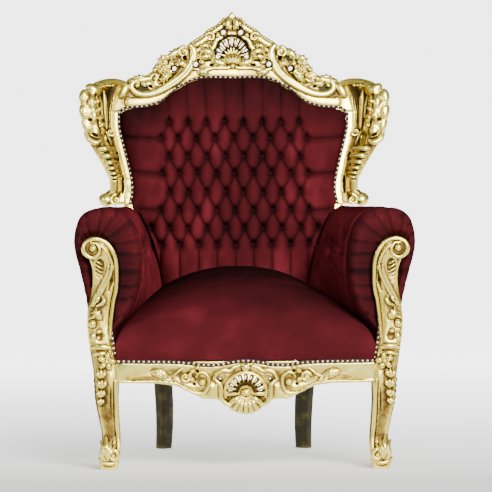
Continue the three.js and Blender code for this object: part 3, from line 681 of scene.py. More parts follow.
    # Painted shade on the leaf: the shell's hub, its rim groove and pierced drops, the sunk ground beside the
    # shell and below the peak, and the round holes with their lips.
    hollow = paint_shade_along(hollow, verts, (-12, 1070), (12, 1070), 14, 0.07, 6.0)
    for a, b in zip(rim[:-1], rim[1:]):
        hollow = np.maximum(hollow, paint_shade_along(hollow, verts, (a[0], a[2]), (b[0], b[2]), 2.5, 0.16))
    for angle, length in shell_drops:
        hollow = paint_shade_along(hollow, verts, *shell_drop(angle, length), 4.6, 0.30)
    for side in (-1, 1):
        hollow = paint_shade_along(hollow, verts, (side * 60, 1088), (side * 90, 1090), 14, 0.06, 8.0)
        hollow = paint_shade_along(hollow, verts, (side * 8, 1164), (side * 22, 1162), 8, 0.07, 6.0)
        for x, z in ((24, 1143), (101, 1056), (160, 1044)):
            hollow = paint_shade_along(hollow, verts, (side * x, z), (side * x + 0.1, z), 10.6, 0.36, 2.0)
    verts[:, 1] += rake(verts[:, 2])
    return verts, faces, hollow


verts, faces, hollow = build_crest()
crest = piece_from("carved_crest", verts, faces, gilding, {"hollow": hollow})
thin_out(crest, 0.36)
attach(crest, "root")
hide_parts("crest_rail")

# ---------------------------------------------------------------- velvet
# Dark red upholstery velvet whose colour carries painted light: a dull crimson painted as light on the crowns
# of the padding, nearly black as painted shade in the folds and darker where the surface turns away from the
# view, with random patches in the pile over all.
velvet = Finish("velvet")
nap = velvet.node("ShaderNodeAttribute", {"attribute_name": "nap"}, output=2)
patches = velvet.noise(13.0, 4.0)
pile = velvet.noise(900.0, 2.0)
facing = velvet.node("ShaderNodeLayerWeight", inputs={"Blend": 0.35}, output=1)
lit = nap + (patches - 0.5) * 0.5 + (pile - 0.5) * 0.2
near_black, dark_red = (0.011, 0.0036, 0.0038, 1.0), (0.057, 0.0072, 0.0094, 1.0)
crimson = (0.164, 0.018, 0.025, 1.0)
velvet.feed(velvet.shader, {
    "Base Color": velvet.node("ShaderNodeValToRGB", {"stops": [
        (0.0, near_black), (0.55, dark_red), (1.0, crimson)]}, {"Fac": lit - facing ** 3.0 * 0.12}),
    "Roughness": 0.9,
    "Specular IOR Level": 0.0,
    "Normal": velvet.bump(pile, 0.25, 0.0008, velvet.bump(patches, 0.5, 0.004)),
})


# ---------------------------------------------------------------- inside back
# A deep-buttoned pad: velvet over stuffing, drawn in by covered buttons on a diamond pitch,
# pleated straight up to the nails, down to the seat and out to the sides.
def wobble(rng, points, size, reach):
    """Smooth random unevenness over points, as a sum of slow waves."""
    total = np.zeros(points.shape[:-1])
    for octave in range(4):
        for _ in range(3):
            wave = rng.normal(size=points.shape[-1]) * 2 ** octave / reach
            total += np.sin(points @ wave + rng.uniform(0, 6.28)) / (octave + 1.5)
    return size * total / 3


def grid_faces(rows, columns, closed=False):
    """Quads over a grid of points numbered row by row; `closed` joins each row's two ends."""
    across = columns if closed else columns - 1
    i, j = np.meshgrid(np.arange(rows - 1), np.arange(across), indexing="ij")
    k = (j + 1) % columns
    return np.stack([i * columns + j, i * columns + k, (i + 1) * columns + k, (i + 1) * columns + j],
                    -1).reshape(-1, 4)


def dome(radius, height, around, rings):
    """A small round dome that rises along -Y."""
    verts, faces = [(0.0, -height, 0.0)], []
    for r in range(1, rings + 1):
        a = 0.5 * math.pi * r / rings
        for k in range(around):
            b = 2 * math.pi * k / around
            verts.append((radius * math.sin(a) * math.cos(b), -height * math.cos(a),
                          radius * math.sin(a) * math.sin(b)))
    for k in range(around):
        faces.append((0, 0, 1 + k, 1 + (k + 1) % around))
        for r in range(rings - 1):
            low = 1 + r * around
            faces.append((low + k, low + around + k,
                          low + around + (k + 1) % around, low + (k + 1) % around))
    return np.array(verts), np.array(faces)


def capped(rings, middles):
    """A skin over closed rings of equal count, its two ends fanned in to the two `middles`."""
    rows, around = rings.shape[:2]
    ring = np.arange(around)
    following, last_row = (ring + 1) % around, (rows - 1) * around
    middle = np.full_like(ring, rows * around)
    first_cap = np.stack([middle, middle, following, ring], 1)
    last_cap = np.stack([middle + 1, middle + 1, last_row + ring, last_row + following], 1)
    faces = np.concatenate([grid_faces(rows, around, closed=True), first_cap, last_cap])
    return np.vstack([rings.reshape(-1, 3), middles]), faces


def grid_rim(rows, columns):
    """The numbers of the points round the edge of a grid, in turn."""
    return np.concatenate([np.arange(columns), columns * np.arange(1, rows) + columns - 1,
                           np.arange(columns * rows - 2, columns * (rows - 1) - 1, -1),
                           columns * np.arange(rows - 2, 0, -1)])


button_pitch, button_radius, button_height = 51.0, 6.2, 4.2
button_rows = [(898, 0.5, 4), (854, 0, 3), (804, 0.5, 4), (758, 0, 3), (707, 0.5, 4), (658, 0, 4),
               (610, 0.5, 5), (565, 0, 4)]
pad_bottom = 430.0
pad_clearance = 0.6


def side_edge(z, spread=0.0):
    """Half the pad's width; `spread` carries it out over the stile behind the arm."""
    levels = [422, 450, 505, 560, 612, 650] + [p[1] for p in velvet_edge[:8:-1]]
    widths = [193, 198, 208, 222, 242, 262] + [p[0] for p in velvet_edge[:8:-1]]
    extra = np.interp(z, [450, 505, 560, 612, 640, 676], [0, 8, 18, 24, 22, 0])
    return np.interp(z, levels, widths) + spread * extra


def top_edge(x):
    """Where the pad meets the crest."""
    return np.interp(np.abs(x), [p[0] for p in velvet_edge[:11]], [p[1] for p in velvet_edge[:11]])


def build_back():
    rng = np.random.default_rng(7)
    columns, rows = 301, 285
    u, v = np.meshgrid(np.linspace(-1, 1, columns), np.linspace(0, 1, rows))
    top = top_edge(310 * u)
    z = pad_bottom + v * (top - pad_bottom)
    width = side_edge(z, 1.0)
    x = u * width
    inward = np.minimum((1 - np.abs(u)) * width, (1 - v) * (top - pad_bottom))
    fullness, edge_round = 64, 34
    rise = fullness * (1 - np.exp(-inward / edge_round)) * (1 + 0.22 * (740 - z) / 280) + 5
    buttons, unevenness = [], 1.3
    for row, (level, offset, reach) in enumerate(button_rows):
        for k in range(-reach, reach) if offset else range(-reach, reach + 1):
            buttons.append((row, (k + offset) * button_pitch + rng.normal(0, unevenness),
                            level + rng.normal(0, unevenness)))
    # pleats from button to button, and from the outermost buttons to the edges
    folds = []
    for row, bx, bz in buttons:
        for other, ox, oz in buttons:
            if other == row + 1 and abs(ox - bx) < button_pitch * 0.75:
                folds.append(((bx, bz), (ox, oz), 1.0))
        if row == 0:
            folds.append(((bx, bz), (bx * 1.03, top_edge(bx) - 4), 0.5))
        if row == len(button_rows) - 1:
            folds.append(((bx, bz), (bx, pad_bottom), 0.85))
    for row in (1, 3, 5):
        level = button_rows[row][0]
        for side in (-1, 1):
            start = max(side * bx for r, bx, _ in buttons if r == row) + (0 if row == 5 else 46)
            if row != 5:
                buttons.append((row, side * start, level))
                for r, bx, bz in list(buttons):
                    if abs(r - row) == 1 and abs(bx) > 170 and bx * side > 0:
                        folds.append(((bx, bz), (side * start, level), 0.8))
            folds.append(((side * start, level), (side * (side_edge(level) - 6), level + 3), 0.8))
    shape, shade = np.zeros_like(x), np.zeros_like(x)
    for a, b, depth in folds:
        gap, t, hand = along_segment(x, z, a, b)
        shape = np.maximum(shape, depth * (11.0 * np.exp(-gap / 7.5) + 2.0 * hand * np.exp(-gap / 6.0)))
        breadth = 9.0 if abs(b[1] - a[1]) < 5 else 2.8
        shade = np.maximum(shade, depth * np.exp(-(gap / breadth) ** 2) * (0.36 - 0.12 * t))
    pits = np.zeros_like(x)
    for _, bx, bz in buttons:
        r2 = (x - bx) ** 2 + ((z - bz - 2.0) * 0.85) ** 2
        pits = np.maximum(pits, 15 * np.exp(-r2 / (2 * 7.0 ** 2)) + 4 * np.exp(-r2 / (2 * 15.0 ** 2)))
        gap, t, _ = along_segment(x, z, (bx, bz - 2), (bx, bz + 17))
        shade = np.maximum(shade, 0.50 * np.exp(-(gap / (9.0 - 6.0 * t)) ** 2))
    grid = np.stack([x, z], -1)
    rise = rise - np.maximum(shape, 0) - pits + 7 + wobble(rng, grid, 1.3, 60.0)
    rise = np.maximum(rise, 2.5) * np.clip(inward / 5, 0.25, 1)
    past = np.clip((np.abs(x) - side_edge(z) + 4) / 6, 0, 1)
    rise = rise * (1 - past) + np.minimum(rise, np.maximum(rake(z) - 219, 1.5)) * past
    verts = np.stack([x, rake(z) - rise, z], -1).reshape(-1, 3)
    faces = grid_faces(*x.shape)
    rim = grid_rim(rows, columns)
    behind = verts[rim].copy()
    behind[:, 1] = rake(behind[:, 2]) - pad_clearance
    centre = np.array([[0, rake(740) - pad_clearance, 740]])
    ring = len(verts) + np.arange(len(rim))
    following, middle = np.roll(ring, -1), np.full_like(ring, ring[-1] + 1)
    wall = np.stack([rim, ring, following, np.roll(rim, -1)], 1)
    cap = np.stack([ring, middle, middle, following], 1)
    verts, faces = np.vstack([verts, behind, centre]), [faces, wall, cap]
    knob, knob_faces = dome(button_radius, button_height, 12, 4)
    # Painted shade in the velvet's colour: darker along the top under the crest, over the pleats and above
    # each button, and the buttons and the hidden walls painted dark.
    crown = 0.42 * np.exp(-((top - z) / 70.0) ** 2)
    nap = 0.58 - crown - 0.008 * np.maximum(shape, 0) - shade + wobble(rng, grid * (1.0, 0.35), 0.2, 45.0)
    knobs = []
    for _, bx, bz in buttons:
        nearest = np.argmin((x - bx) ** 2 + (z - bz) ** 2)
        faces.append(knob_faces + len(verts) + len(knob) * len(knobs))
        knobs.append(knob + (bx, verts[nearest][1] - 0.4, bz))
    in_the_dark = np.full(len(verts) - nap.size + len(knob) * len(knobs), 0.15)
    return np.vstack([verts, *knobs]), np.concatenate(faces), np.concatenate([nap.ravel(), in_the_dark])


def from_quads(name, verts, faces, finish, attributes=None):
    """As piece_from, with quads that repeat a corner turned into triangles."""
    faces = np.asarray(faces)
    folded = [faces[:, k] == faces[:, (k + 1) % 4] for k in range(4)]
    plain = ~np.any(folded, axis=0)
    corners = [faces[plain][:, [0, 1, 2]], faces[plain][:, [0, 2, 3]]]
    for k in range(4):
        some = faces[folded[k] & ~np.any(folded[:k], axis=0)] if k else faces[folded[0]]
        corners.append(some[:, [(k + 1) % 4, (k + 2) % 4, (k + 3) % 4]])
    return piece_from(name, verts, np.concatenate(corners), finish, attributes)


verts, faces, nap = build_back()
back = from_quads("buttoned_back", verts, faces, velvet, {"nap": nap})
thin_out(back, 0.6)
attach(back, "root")
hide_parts("inside_back")


# ---------------------------------------------------------------- seat
# A sprung, domed seat upholstered over the rail: smooth on top, drawn down over the front
# with a soft edge and a few pulled wrinkles, and tucked in under the arms and the back.
seat_front, seat_rear, seat_middle, seat_half_depth = -352.0, 196.0, -78.0, 274
seat_foot = 289.0
arm_front = np.array([
    (392, 290), (410, 380), (424, 460), (440, 525), (454, 590), (451, 637), (434, 674), (392, 693),
    (342, 690), (304, 667), (281, 617), (273, 548), (280, 475), (308, 410), (346, 362), (352, 290)], float)
arm_rear = np.array([
    (214, 290), (240, 390), (272, 455), (308, 520), (330, 580), (334, 625), (326, 655), (308, 668),
    (288, 668), (264, 650), (244, 612), (224, 560), (208, 505), (198, 450), (188, 380), (184, 290)], float)


def arm_blend(y):
    """How far an arm's section has changed from its front shape to its rear one."""
    t = np.clip((y + 326) / 540, 0, 1)
    return (t * t * (3 - 2 * t)) * 0.35 + t * 0.65


def under_arm(x, y):
    """The height of the underside of the arm's roll above a place on the seat."""
    blend = arm_blend(y)
    low = np.full(np.shape(x), 900.0)
    for t in np.linspace(0, 1, 40):
        a, b = (np.array([np.interp(t * 3, range(4), side[10:14][:, k]) for k in (0, 1)])
                for side in (arm_front[1:], arm_rear[1:]))
        px = a[0] + (b[0] - a[0]) * blend
        pz = a[1] + (b[1] - a[1]) * blend
        low = np.where(np.abs(x) > px - 1.0, np.minimum(low, pz), low)
    return low


def build_seat():
    rng = np.random.default_rng(11)
    around, levels, wall_levels = 420, 84, 16
    angle = np.linspace(0, 2 * math.pi, around, endpoint=False)
    squareness = 120.0
    c, s = np.cos(angle), np.sin(angle)
    reach = (np.abs(c) ** squareness + np.abs(s) ** squareness) ** (-1 / squareness)
    steps = np.sin(np.linspace(0.004, 0.5, levels) * math.pi)
    ring = np.concatenate([steps, np.ones(wall_levels)])[:, None]
    unit_x, unit_y = ring * reach * c, ring * reach * s
    y = seat_middle + unit_y * seat_half_depth
    half = np.interp(y, [seat_front, seat_rear], [347, 205])
    x = unit_x * half
    share = (y - seat_front) / (seat_rear - seat_front)
    across, ahead = np.abs(unit_x), np.clip(-unit_y, 0, 1)
    edge = 376 + 76 * share
    top, height = 0.55, 90
    crown = np.where(share < top, height * np.maximum(1 - np.abs((share - top) / top) ** 2.4, 0) ** 0.8,
                     height - 40 * (np.maximum(share - top, 0) / 0.45) ** 2)
    z = edge + crown * (1 - across ** 2.3)
    z = 316 + (z - 316) * np.maximum(1 - ahead ** 10, 0) ** 0.35 * np.maximum(1 - across ** 40, 0) ** 0.3
    spot = np.stack([x, y], -1)
    z = z + wobble(rng, spot, 1.8, 90.0)
    wrinkles = [((326, -300), (210, -250)), ((318, -270), (200, -190)), ((300, -210), (190, -120))]
    for side in (-1, 1):
        for k, (start, end) in enumerate(wrinkles):
            gap, t, _ = along_segment(side * x, y, start, end)
            z = z - 3.2 * np.exp(-gap / 9) * (1 - t) * np.exp(-k * 0.1)
    z = np.minimum(z, under_arm(x, y) - 4)
    # the wall: down to the rail, with gathers along its foot at the front
    wall = np.zeros_like(ring)
    wall[levels:, 0] = np.arange(wall_levels) / (wall_levels - 1.0)
    rim = z[levels][None, :]
    z = np.where(wall > 0, rim + (seat_foot - rim) * wall, z)
    ripple = 1.8 * np.sin(x / 17.0 + 1.4 * np.sin(x / 61.0)) * np.clip(1 - (z - seat_foot) / 45.0, 0, 1)
    y = y + ripple * np.clip(-s[None, :], 0, 1)
    y = np.where(z > 424, np.minimum(y, rake(z) - 95), np.minimum(y, seat_rear))
    middles = [(0, seat_middle, z[0].mean()), (0, seat_middle, seat_foot)]
    verts, faces = capped(np.stack([x, y, z], -1), middles)
    shadow = np.clip((y + 335 - 0.25 * np.abs(x)) / 260, 0, 1) ** 0.7
    nap = 0.50 - 0.42 * shadow + wobble(rng, spot, 0.12, 90.0)
    return verts, faces[:, ::-1], np.concatenate([nap.ravel(), [0.1, 0.1]])


verts, faces, nap = build_seat()
seat = from_quads("sprung_seat", verts, faces, velvet, {"nap": nap})
thin_out(seat, 0.6)
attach(seat, "root")
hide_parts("seat")


# ---------------------------------------------------------------- arms
# Padded arms that roll outwards: velvet stretched along the roll, gathered into pleats that
# fan out from the scroll of the post, and drawn in at two points of the inner side, from
# which folds run out.
def loop_spline(points, count):
    """A smooth closed line through a few points."""
    points = np.asarray(points, float)
    doubled = np.vstack([points[-3:], points, points[:4]])
    at = np.linspace(0, len(points), count, endpoint=False)
    low = at.astype(int)
    return curve_through(*(doubled[low + k] for k in (2, 3, 4, 5)), (at - low)[:, None])


scroll_x, scroll_z = 401.0, 588.0
arm_start, arm_length, arm_foot = -338, 552, 289


def gathers(x, z):
    """How far round the pleats a place on the arm's front lies: whole numbers are creases."""
    turn = np.degrees(np.arctan2(z - scroll_z, scroll_x - x))
    count = np.where(z > scroll_z, turn / 23.0, (z - scroll_z) / 40.0)
    return count + 0.12 * np.sin(count * 2.3) + 0.4


def gathered_light(count, strength):
    """The sheen across each pleat: bright just past a crease and dark just before the next."""
    part = count - np.floor(count)
    glint = 0.16 * np.exp(-((part - 0.12) / 0.07) ** 2) + 0.07 * np.exp(-((part - 0.45) / 0.25) ** 2)
    return strength * (glint - 0.20 * np.exp(-((part - 0.86) / 0.17) ** 2))


def build_arm(seed):
    rng = np.random.default_rng(seed)
    around, along = 300, 120
    first, last = loop_spline(arm_front, around), loop_spline(arm_rear, around)
    y_steps = arm_start + arm_length * np.linspace(0, 1, along) ** 1.6
    blend = arm_blend(y_steps)[:, None, None]
    loop = first[None] * (1 - blend) + last[None] * blend
    middle = loop.mean(1, keepdims=True)
    ahead = np.roll(loop, -1, 1) - np.roll(loop, 1, 1)
    normal = np.stack([-ahead[..., 1], ahead[..., 0]], -1)
    normal /= np.linalg.norm(normal, axis=-1, keepdims=True) + 1e-9
    normal *= np.sign(((loop - middle) * normal).sum(-1).mean())
    x, z = loop[..., 0], loop[..., 1]
    y = np.broadcast_to(y_steps[:, None], x.shape)
    front = np.clip(1 - (y - arm_start) / 30.0, 0, 1)
    push = -19.0 * (1 - np.sqrt(1 - front ** 2)) * np.clip((z - 330) / 80, 0, 1)
    count = gathers(x, z)
    crease = 1 - np.abs(np.sin(count * math.pi)) ** 0.55
    near = np.exp(-(y - arm_start) / 62.0) * np.clip((z - 350) / 60, 0, 1)
    push = push - 4.5 * crease * near * np.clip((440 - x) / 50, 0.15, 1)
    fold = np.exp(-((y + 262 + 0.10 * (z - 560)) / 12.0) ** 2) * np.clip((400 - x) / 60, 0, 1)
    push = push - 9.0 * fold
    shade = 0.30 * fold - gathered_light(count, np.exp(-(y - arm_start) / 40.0))
    for spot_y, spot_z, size in ((-150.0, 575.0, 1.0), (20.0, 560.0, 0.7)):
        r = np.hypot(y - spot_y, z - spot_z)
        face = x < 345
        push = push - face * size * (9 * np.exp(-r ** 2 / 160.0) + 4 * np.exp(-r ** 2 / 1200.0))
        shade = shade + face * size * 0.4 * np.exp(-r ** 2 / 260.0)
        for ty, tz in ((-262, 640), (-262, 560), (-250, 480), (150, 600), (-60, 500), (-110, 690)):
            gap, t, _ = along_segment(y, z, (spot_y, spot_z), (ty, tz))
            line = face * size * (1 - t) ** 0.7
            push = push - 4.5 * line * np.exp(-gap / 8.0)
            shade = shade + 0.22 * line * np.exp(-(gap / 5.0) ** 2)
    for level in (628, 618):
        gap = z - (level - 0.12 * (y + 336))
        push = push - 2.6 * np.exp(-np.abs(gap) / 9) * (x < 330) * np.clip((y + 250) / 120, 0, 1)
    push = push + wobble(rng, np.stack([y, z, x], -1), 1.4, 70.0)
    push = np.clip(push, -24, 3.0)
    x, z = x + normal[..., 0] * push, z + normal[..., 1] * push
    z = np.maximum(z, arm_foot)
    body = np.stack([x, y, z], -1)
    # Painted light in the velvet's colour: the inner face much lighter and darker again low down, upward faces
    # a little lighter, with the painted shade of the folds and drawn-in spots and the painted sheen of the
    # pleats.
    inner = np.clip(-normal[..., 0], 0, 1) * np.clip((y + 330) / 60, 0, 1)
    nap = 0.34 + 0.02 * np.clip(normal[..., 1], 0, 1) + 0.60 * inner - shade
    nap = nap - 0.35 * inner * np.clip((470 - z) / 90, 0, 1) + wobble(rng, body * (1, 0.4, 1), 0.16, 60.0)
    # the gathered front end, hollowed behind the post
    caps = []
    shares = np.linspace(0.985, 0.06, 26)
    for share in shares:
        ring = middle[0] + (np.stack([x[0], z[0]], -1) - middle[0]) * share
        rx, rz = ring.T
        bulge = arm_start - 3.0 * math.sin(min((1 - share) * 4, 1) * math.pi / 2)
        depth = 4.0 * (1 - np.abs(np.sin(gathers(rx, rz) * math.pi)) ** 0.8) * (1 - share ** 6)
        behind = np.clip(1.5 - np.abs(rx - np.interp(rz, leg_levels, leg_middles)) / 30.0, 0, 1)
        hub = np.clip(1.9 - np.hypot(rx - scroll_x, rz - scroll_z) / 24.0, 0, 1)
        behind = np.maximum(behind * (rz < 600), hub)
        caps.append(np.stack([rx, bulge + depth + 37 * behind, np.maximum(rz, arm_foot)], -1))
    caps = np.array(caps[::-1])
    rows = np.concatenate([caps, body])
    outward = shares[::-1][:, None]
    # Painted light on the gathered end: darker towards its middle and low down, with the painted sheen of the
    # pleats.
    end_nap_and_shading = 0.10 + 0.24 * outward ** 2 + 0.12 * np.clip((caps[..., 2] - 600) / 90, -0.3, 1)
    end_nap_and_shading = end_nap_and_shading + gathered_light(gathers(caps[..., 0], caps[..., 2]), 0.5 + 0.5 * outward)
    verts, faces = capped(rows, [rows[0].mean(0), rows[-1].mean(0)])
    return verts, faces, np.concatenate([end_nap_and_shading.ravel(), nap.ravel(), [0.2, 0.2]])


# height, middle from the centre line, line of the leg, half width and half depth
leg_table = [
    (0, 361, -342, 19, 20), (10, 361, -343, 26, 26), (32, 361, -344, 28, 26), (58, 357, -339, 27, 23),
    (88, 354, -334, 24, 21), (145, 362, -337, 28, 25), (185, 367, -341, 31, 28), (225, 367, -343, 33, 27),
    (262, 370, -341, 32, 26), (305, 378, -337, 31, 26), (350, 386, -334, 30, 25), (390, 389, -331, 30, 24),
    (430, 386, -329, 30, 24), (465, 378, -329, 30, 24), (500, 373, -331, 31, 24), (540, 375, -335, 32, 25),
    (572, 382, -339, 31, 25), (596, 389, -340, 24, 24), (608, 393, -340, 13, 20)]
leg_levels = [row[0] for row in leg_table]
leg_middles = [row[1] for row in leg_table]


def mirrored_faces(verts, faces, side):
    """A right-hand piece as it is, or turned over for the left-hand side."""
    verts = verts * (side, 1, 1)
    return verts, (faces if side > 0 else faces[:, ::-1])


def side_of(node):
    """1 for a part on the +X side, -1 for its twin."""
    low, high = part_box(node)
    return 1 if low[0] + high[0] > 0 else -1


for node in ("arm_left", "arm_right"):
    verts, faces, nap = build_arm(21 if side_of(node) > 0 else 22)
    verts, faces = mirrored_faces(verts, faces, side_of(node))
    arm = from_quads("rolled_" + node, verts, faces, velvet, {"nap": nap})
    thin_out(arm, 0.62)
    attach(arm, "root")
    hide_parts(node)


# ---------------------------------------------------------------- wings
# The two wings that curl forward from the shoulders of the back: a hollowed inner face, a
# broad leafed lip, and a tapering foot of gadroons that ends in a small scroll and a ball.
# height, root, outer edge, forward reach and lip width
wing_table = [
    (672, 297, 344, 14, 26), (686, 297, 360, 20, 30), (700, 297, 352, 22, 27), (712, 297, 341, 24, 24),
    (742, 299, 342, 34, 26), (770, 304, 355, 44, 30), (811, 315, 378, 62, 40), (846, 322, 399, 76, 46),
    (885, 331, 411, 86, 48), (930, 330, 421, 90, 48), (970, 319, 420, 88, 46), (998, 307, 400, 78, 39),
    (1014, 296, 372, 62, 28)]


def wing_at(z):
    """Root x, outer x, forward reach and lip width of the wing at a height."""
    levels, *columns = zip(*wing_table)
    return [np.interp(z, levels, column) for column in columns]


def ramp(value, start, end):
    """0 up to `start` and 1 from `end` on."""
    return np.clip((value - start) / (end - start), 0, 1)


def build_wing():
    wood = Carving((290, -104, 662), (428, 42, 1024), carving_step)
    px, py = wood.axes[0][:, None], wood.axes[1][None, :]
    for k, z in enumerate(wood.axes[2]):
        root, out, reach, lip = wing_at(z)
        mid = root + (out - lip - root) * 0.6
        flat = outline_distance(px, py, loop_spline([
            (root - 3, 9), (root + 3, 0), (mid, -reach * 0.16), (out - lip - 2, -reach * 0.62),
            (out - lip * 0.9, -reach * 0.96), (out - lip * 0.5, -reach - 3), (out - lip * 0.1, -reach * 0.96),
            (out - 1, -reach * 0.66), (out - lip * 0.3, -reach * 0.2), (root + (out - root) * 0.6, 16),
            (root + 4, 31), (root - 3, 27)], 44))
        past_end = max(674 - z, z - 1012)
        if past_end > -6:
            flat = np.maximum(flat, 0.8 * (past_end + 6 * (flat > -9) * (flat + 9) / 9))
        wood.field[:, :, k] = flat

    def lip_point(z, f, out_of=0.0):
        """A place on the lip's front face, `f` from its inner to its outer edge."""
        _, out, reach, lip = wing_at(z)
        return (out - lip * (1 - f), -reach - 4.0 * math.sin(math.pi * min(max(f, 0), 1)) - out_of, z)

    def hollow_point(z, f, out_of=0.0):
        """A place on the hollowed inner face, `f` from the root to the lip."""
        root, out, reach, lip = wing_at(z)
        return (root + 2 + (out - lip - root) * f, -reach * 0.62 * f ** 1.6 - out_of, z)

    # slit between lip and hollow, with rounded teeth across it
    slit = [lip_point(z, f, -2) for z, f in (
        (992, 0.34), (976, 0.16), (952, 0.05), (922, 0.02), (896, 0.06), (872, 0.16))]
    wood.groove(slit, [2, 5.5, 8, 8.5, 8, 4], 2.2, 60)
    for z, f in ((958, 0.02), (936, -0.06), (914, -0.06), (893, -0.02)):
        wood.blob(lip_point(z, f, -3), (8.5, 9, 6.5), -25, 0.0, 1.2)
    # incised lines that turn the corner beside the plain strip, and the ridges of the hollow
    for shift, depth in ((3, 1.6), (10, 1.9), (19, 1.6)):
        line = [(306 + shift * 0.5, -6 - shift * 0.5, 998 - shift),
                (322 + shift * 0.6, -6 - shift * 0.6, 982 - shift), hollow_point(950, 0.06 + shift / 60),
                hollow_point(915, 0.06 + shift / 60), hollow_point(880, 0.08 + shift / 60)]
        wood.groove(line, [depth], 1.9, 60)
    ridge = [hollow_point(z, f, 1) for z, f in ((984, 0.74), (962, 0.60), (925, 0.52), (884, 0.50))]
    wood.tube(ridge, [2, 7, 8, 4], 0.9, 5.0)
    wood.tube([hollow_point(z, f, 1) for z, f in ((968, 0.86), (944, 0.76), (912, 0.72))],
              [3, 5, 3], 0.9, 3.0)
    # a few broad, softly crumpled leaf forms over the lip, with brown pockets between them
    for z, f, wide, tall, turn in (
            (992, 0.62, 18, 12, 30), (970, 0.84, 12, 20, 8), (954, 0.36, 10, 18, -8), (930, 0.80, 13, 22, -4),
            (916, 0.32, 10, 19, 4), (894, 0.86, 11, 20, -14), (876, 0.46, 14, 12, 26)):
        wood.blob(lip_point(z, f, -6.5), (wide * 1.08, 10.5, tall * 1.08), turn, 5.0)
    for z in (982, 960, 938, 920, 900):
        wood.groove([lip_point(z - 6, 0.24, 3), lip_point(z, 0.55, 5), lip_point(z + 12, 0.98, 0)],
                    [0.9, 1.5, 0.7], 1.5, 16)
    wood.dent(lip_point(908, 0.60, 5), (8, 9, 6.5), 25)
    # tip of the lip leaf, curled over a dark pocket above the first gadroon
    wood.tube([lip_point(874, 1.0, -6), lip_point(856, 0.96, 2), lip_point(846, 0.62, 3),
               lip_point(850, 0.30, 0)], [5, 8, 8, 5], 0.9, 0.0, 1.2, 24)
    wood.dent(lip_point(866, 0.50, 4), (12, 10, 5), 25)
    # curl at the foot of the hollow, and the thin blade that leaves it
    wood.scroll(hollow_point(871, 0.20, 3), 11, 200, 1.1, 3.8, 1, 1.3)
    wood.tube([hollow_point(872, 0.62, 2), hollow_point(852, 0.50, 4), hollow_point(834, 0.44, 3)],
              [3, 3.6, 2], 1.4, 0.0, 1.2)
    wood.dent(hollow_point(858, 0.82, 4), (7, 9, 13), -20)
    # gadroons: rounded ribs with dark hollows, shrinking down the foot
    for z, rise, r in ((829, 5, 7.6), (809, 4, 7.4), (791, 3, 6.2),
                       (775, 2, 5.4), (761, 1, 4.6), (749, 0, 3.8)):
        _, out, reach, lip = wing_at(z)
        wood.tube([(out - lip * 1.40, -reach * 0.80, z - rise * 0.4), (out - lip * 0.70, -reach - 4.5, z),
                   (out - 7, -reach * 0.8, z + rise)], [r * 0.7, r, r * 0.8], 0.85, 0.0, 0.8, 14)
        below = z - r - 2.2
        _, out, reach, lip = wing_at(below)
        wood.groove([(out - lip * 1.30, -reach * 0.9, below - rise * 0.4),
                     (out - lip * 0.80, -reach - 4.5, below),
                     (out - lip * 0.2, -reach * 0.9, below + rise)], [3.8, 3.6, 1.2], 1.9, 14)
    for z in (842, 815, 790):
        wood.groove([hollow_point(z + 10, 0.42, -1), hollow_point(z - 14, 0.55, -1)], [2.8], 1.4)
    # long dark recesses between the foot and the plain strip
    wood.dent((318, -2, 803), (6, 12, 15), -8)
    wood.dent((304, 0, 728), (4.6, 12, 26), 0)
    # smooth neck, small spiral and ball on the arm
    wood.groove([(303, -6, 772), (301, -6, 740), (300, -6, 700)], [1.5], 1.5)
    wood.blob((350, -14, 688), (21, 18, 19), 0, 0.0, 1.0)
    wood.blob((338, -10, 704), (12, 12, 10), 20, 4.0)
    wood.scroll((325, -22, 687), 15, 90, 1.2, 5.0, -1, 1.2)
    # top band that runs out from the crest to the corner, with beads
    band = [(299, -10, 1006), (322, -26, 1010), (350, -50, 1009), (378, -70, 1001), (402, -80, 985)]
    wood.tube(band, [6, 8, 9, 9, 6], 0.9, 1.0, 0.0, 50)
    for bead in spline([(332, -40, 1000), (352, -58, 999), (374, -74, 992)], 6):
        wood.blob(bead, (5.0, 6, 4.0), 10, 0.0, 0.7)
    verts, faces, hollow = wood.skin()
    # painted shade: the big concave face is painted darker towards its middle
    x, y, z = verts.T
    root, out, reach, lip = wing_at(z)
    share = np.clip((x - root) / (out - lip * 0.9 - root), 0, 1)
    tall = ramp(z, 862, 902) * ramp(z, 1006, 986)
    hollow = hollow + 0.10 * np.sin(math.pi * share ** 0.7) * tall * (y < -2)
    hollow = hollow + 0.055 * ramp(z, 862, 848) * ramp(z, 742, 762)
    # painted shade too on the outer edge and the outer flank of the foot, deeper in every hollow, in the
    # pockets of the lip and under its tip, and over the top band
    hollow = hollow + 0.05 * ramp(x - out, -7, -2) * (y > -reach * 0.9)
    hollow = hollow + 0.010 + 0.35 * np.clip(hollow - 0.51, 0, 0.2)
    flank = ramp(x - out, -16, -8) * ramp(z, 858, 846)
    hollow = hollow + 0.06 * flank * ramp(z, 712, 724) * (y < 22)
    for a, b in (((394, 972), (402, 958)), ((370, 940), (378, 950)),
                 ((404, 936), (412, 918)), ((376, 905), (372, 918))):
        hollow = paint_shade_along(hollow, verts, a, b, 2.5, 0.06, 6.0)
    hollow = paint_shade_along(hollow, verts, (386, 908), (386, 909), 5, 0.10, 7.0)
    hollow = paint_shade_along(hollow, verts, (352, 868), (384, 862), 3, 0.12, 6.0)
    hollow = hollow + 0.06 * ramp(z, 996, 1002)
    verts[:, 1] += rake(verts[:, 2])
    return verts, faces, hollow


right_verts, right_faces, hollow = build_wing()
for node in ("wing_left", "wing_right"):
    verts, faces = mirrored_faces(right_verts, right_faces, side_of(node))
    wing = piece_from("carved_" + node, verts, faces, gilding, {"hollow": hollow})
    thin_out(wing, 0.45)
    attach(wing, "root")
    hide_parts(node)


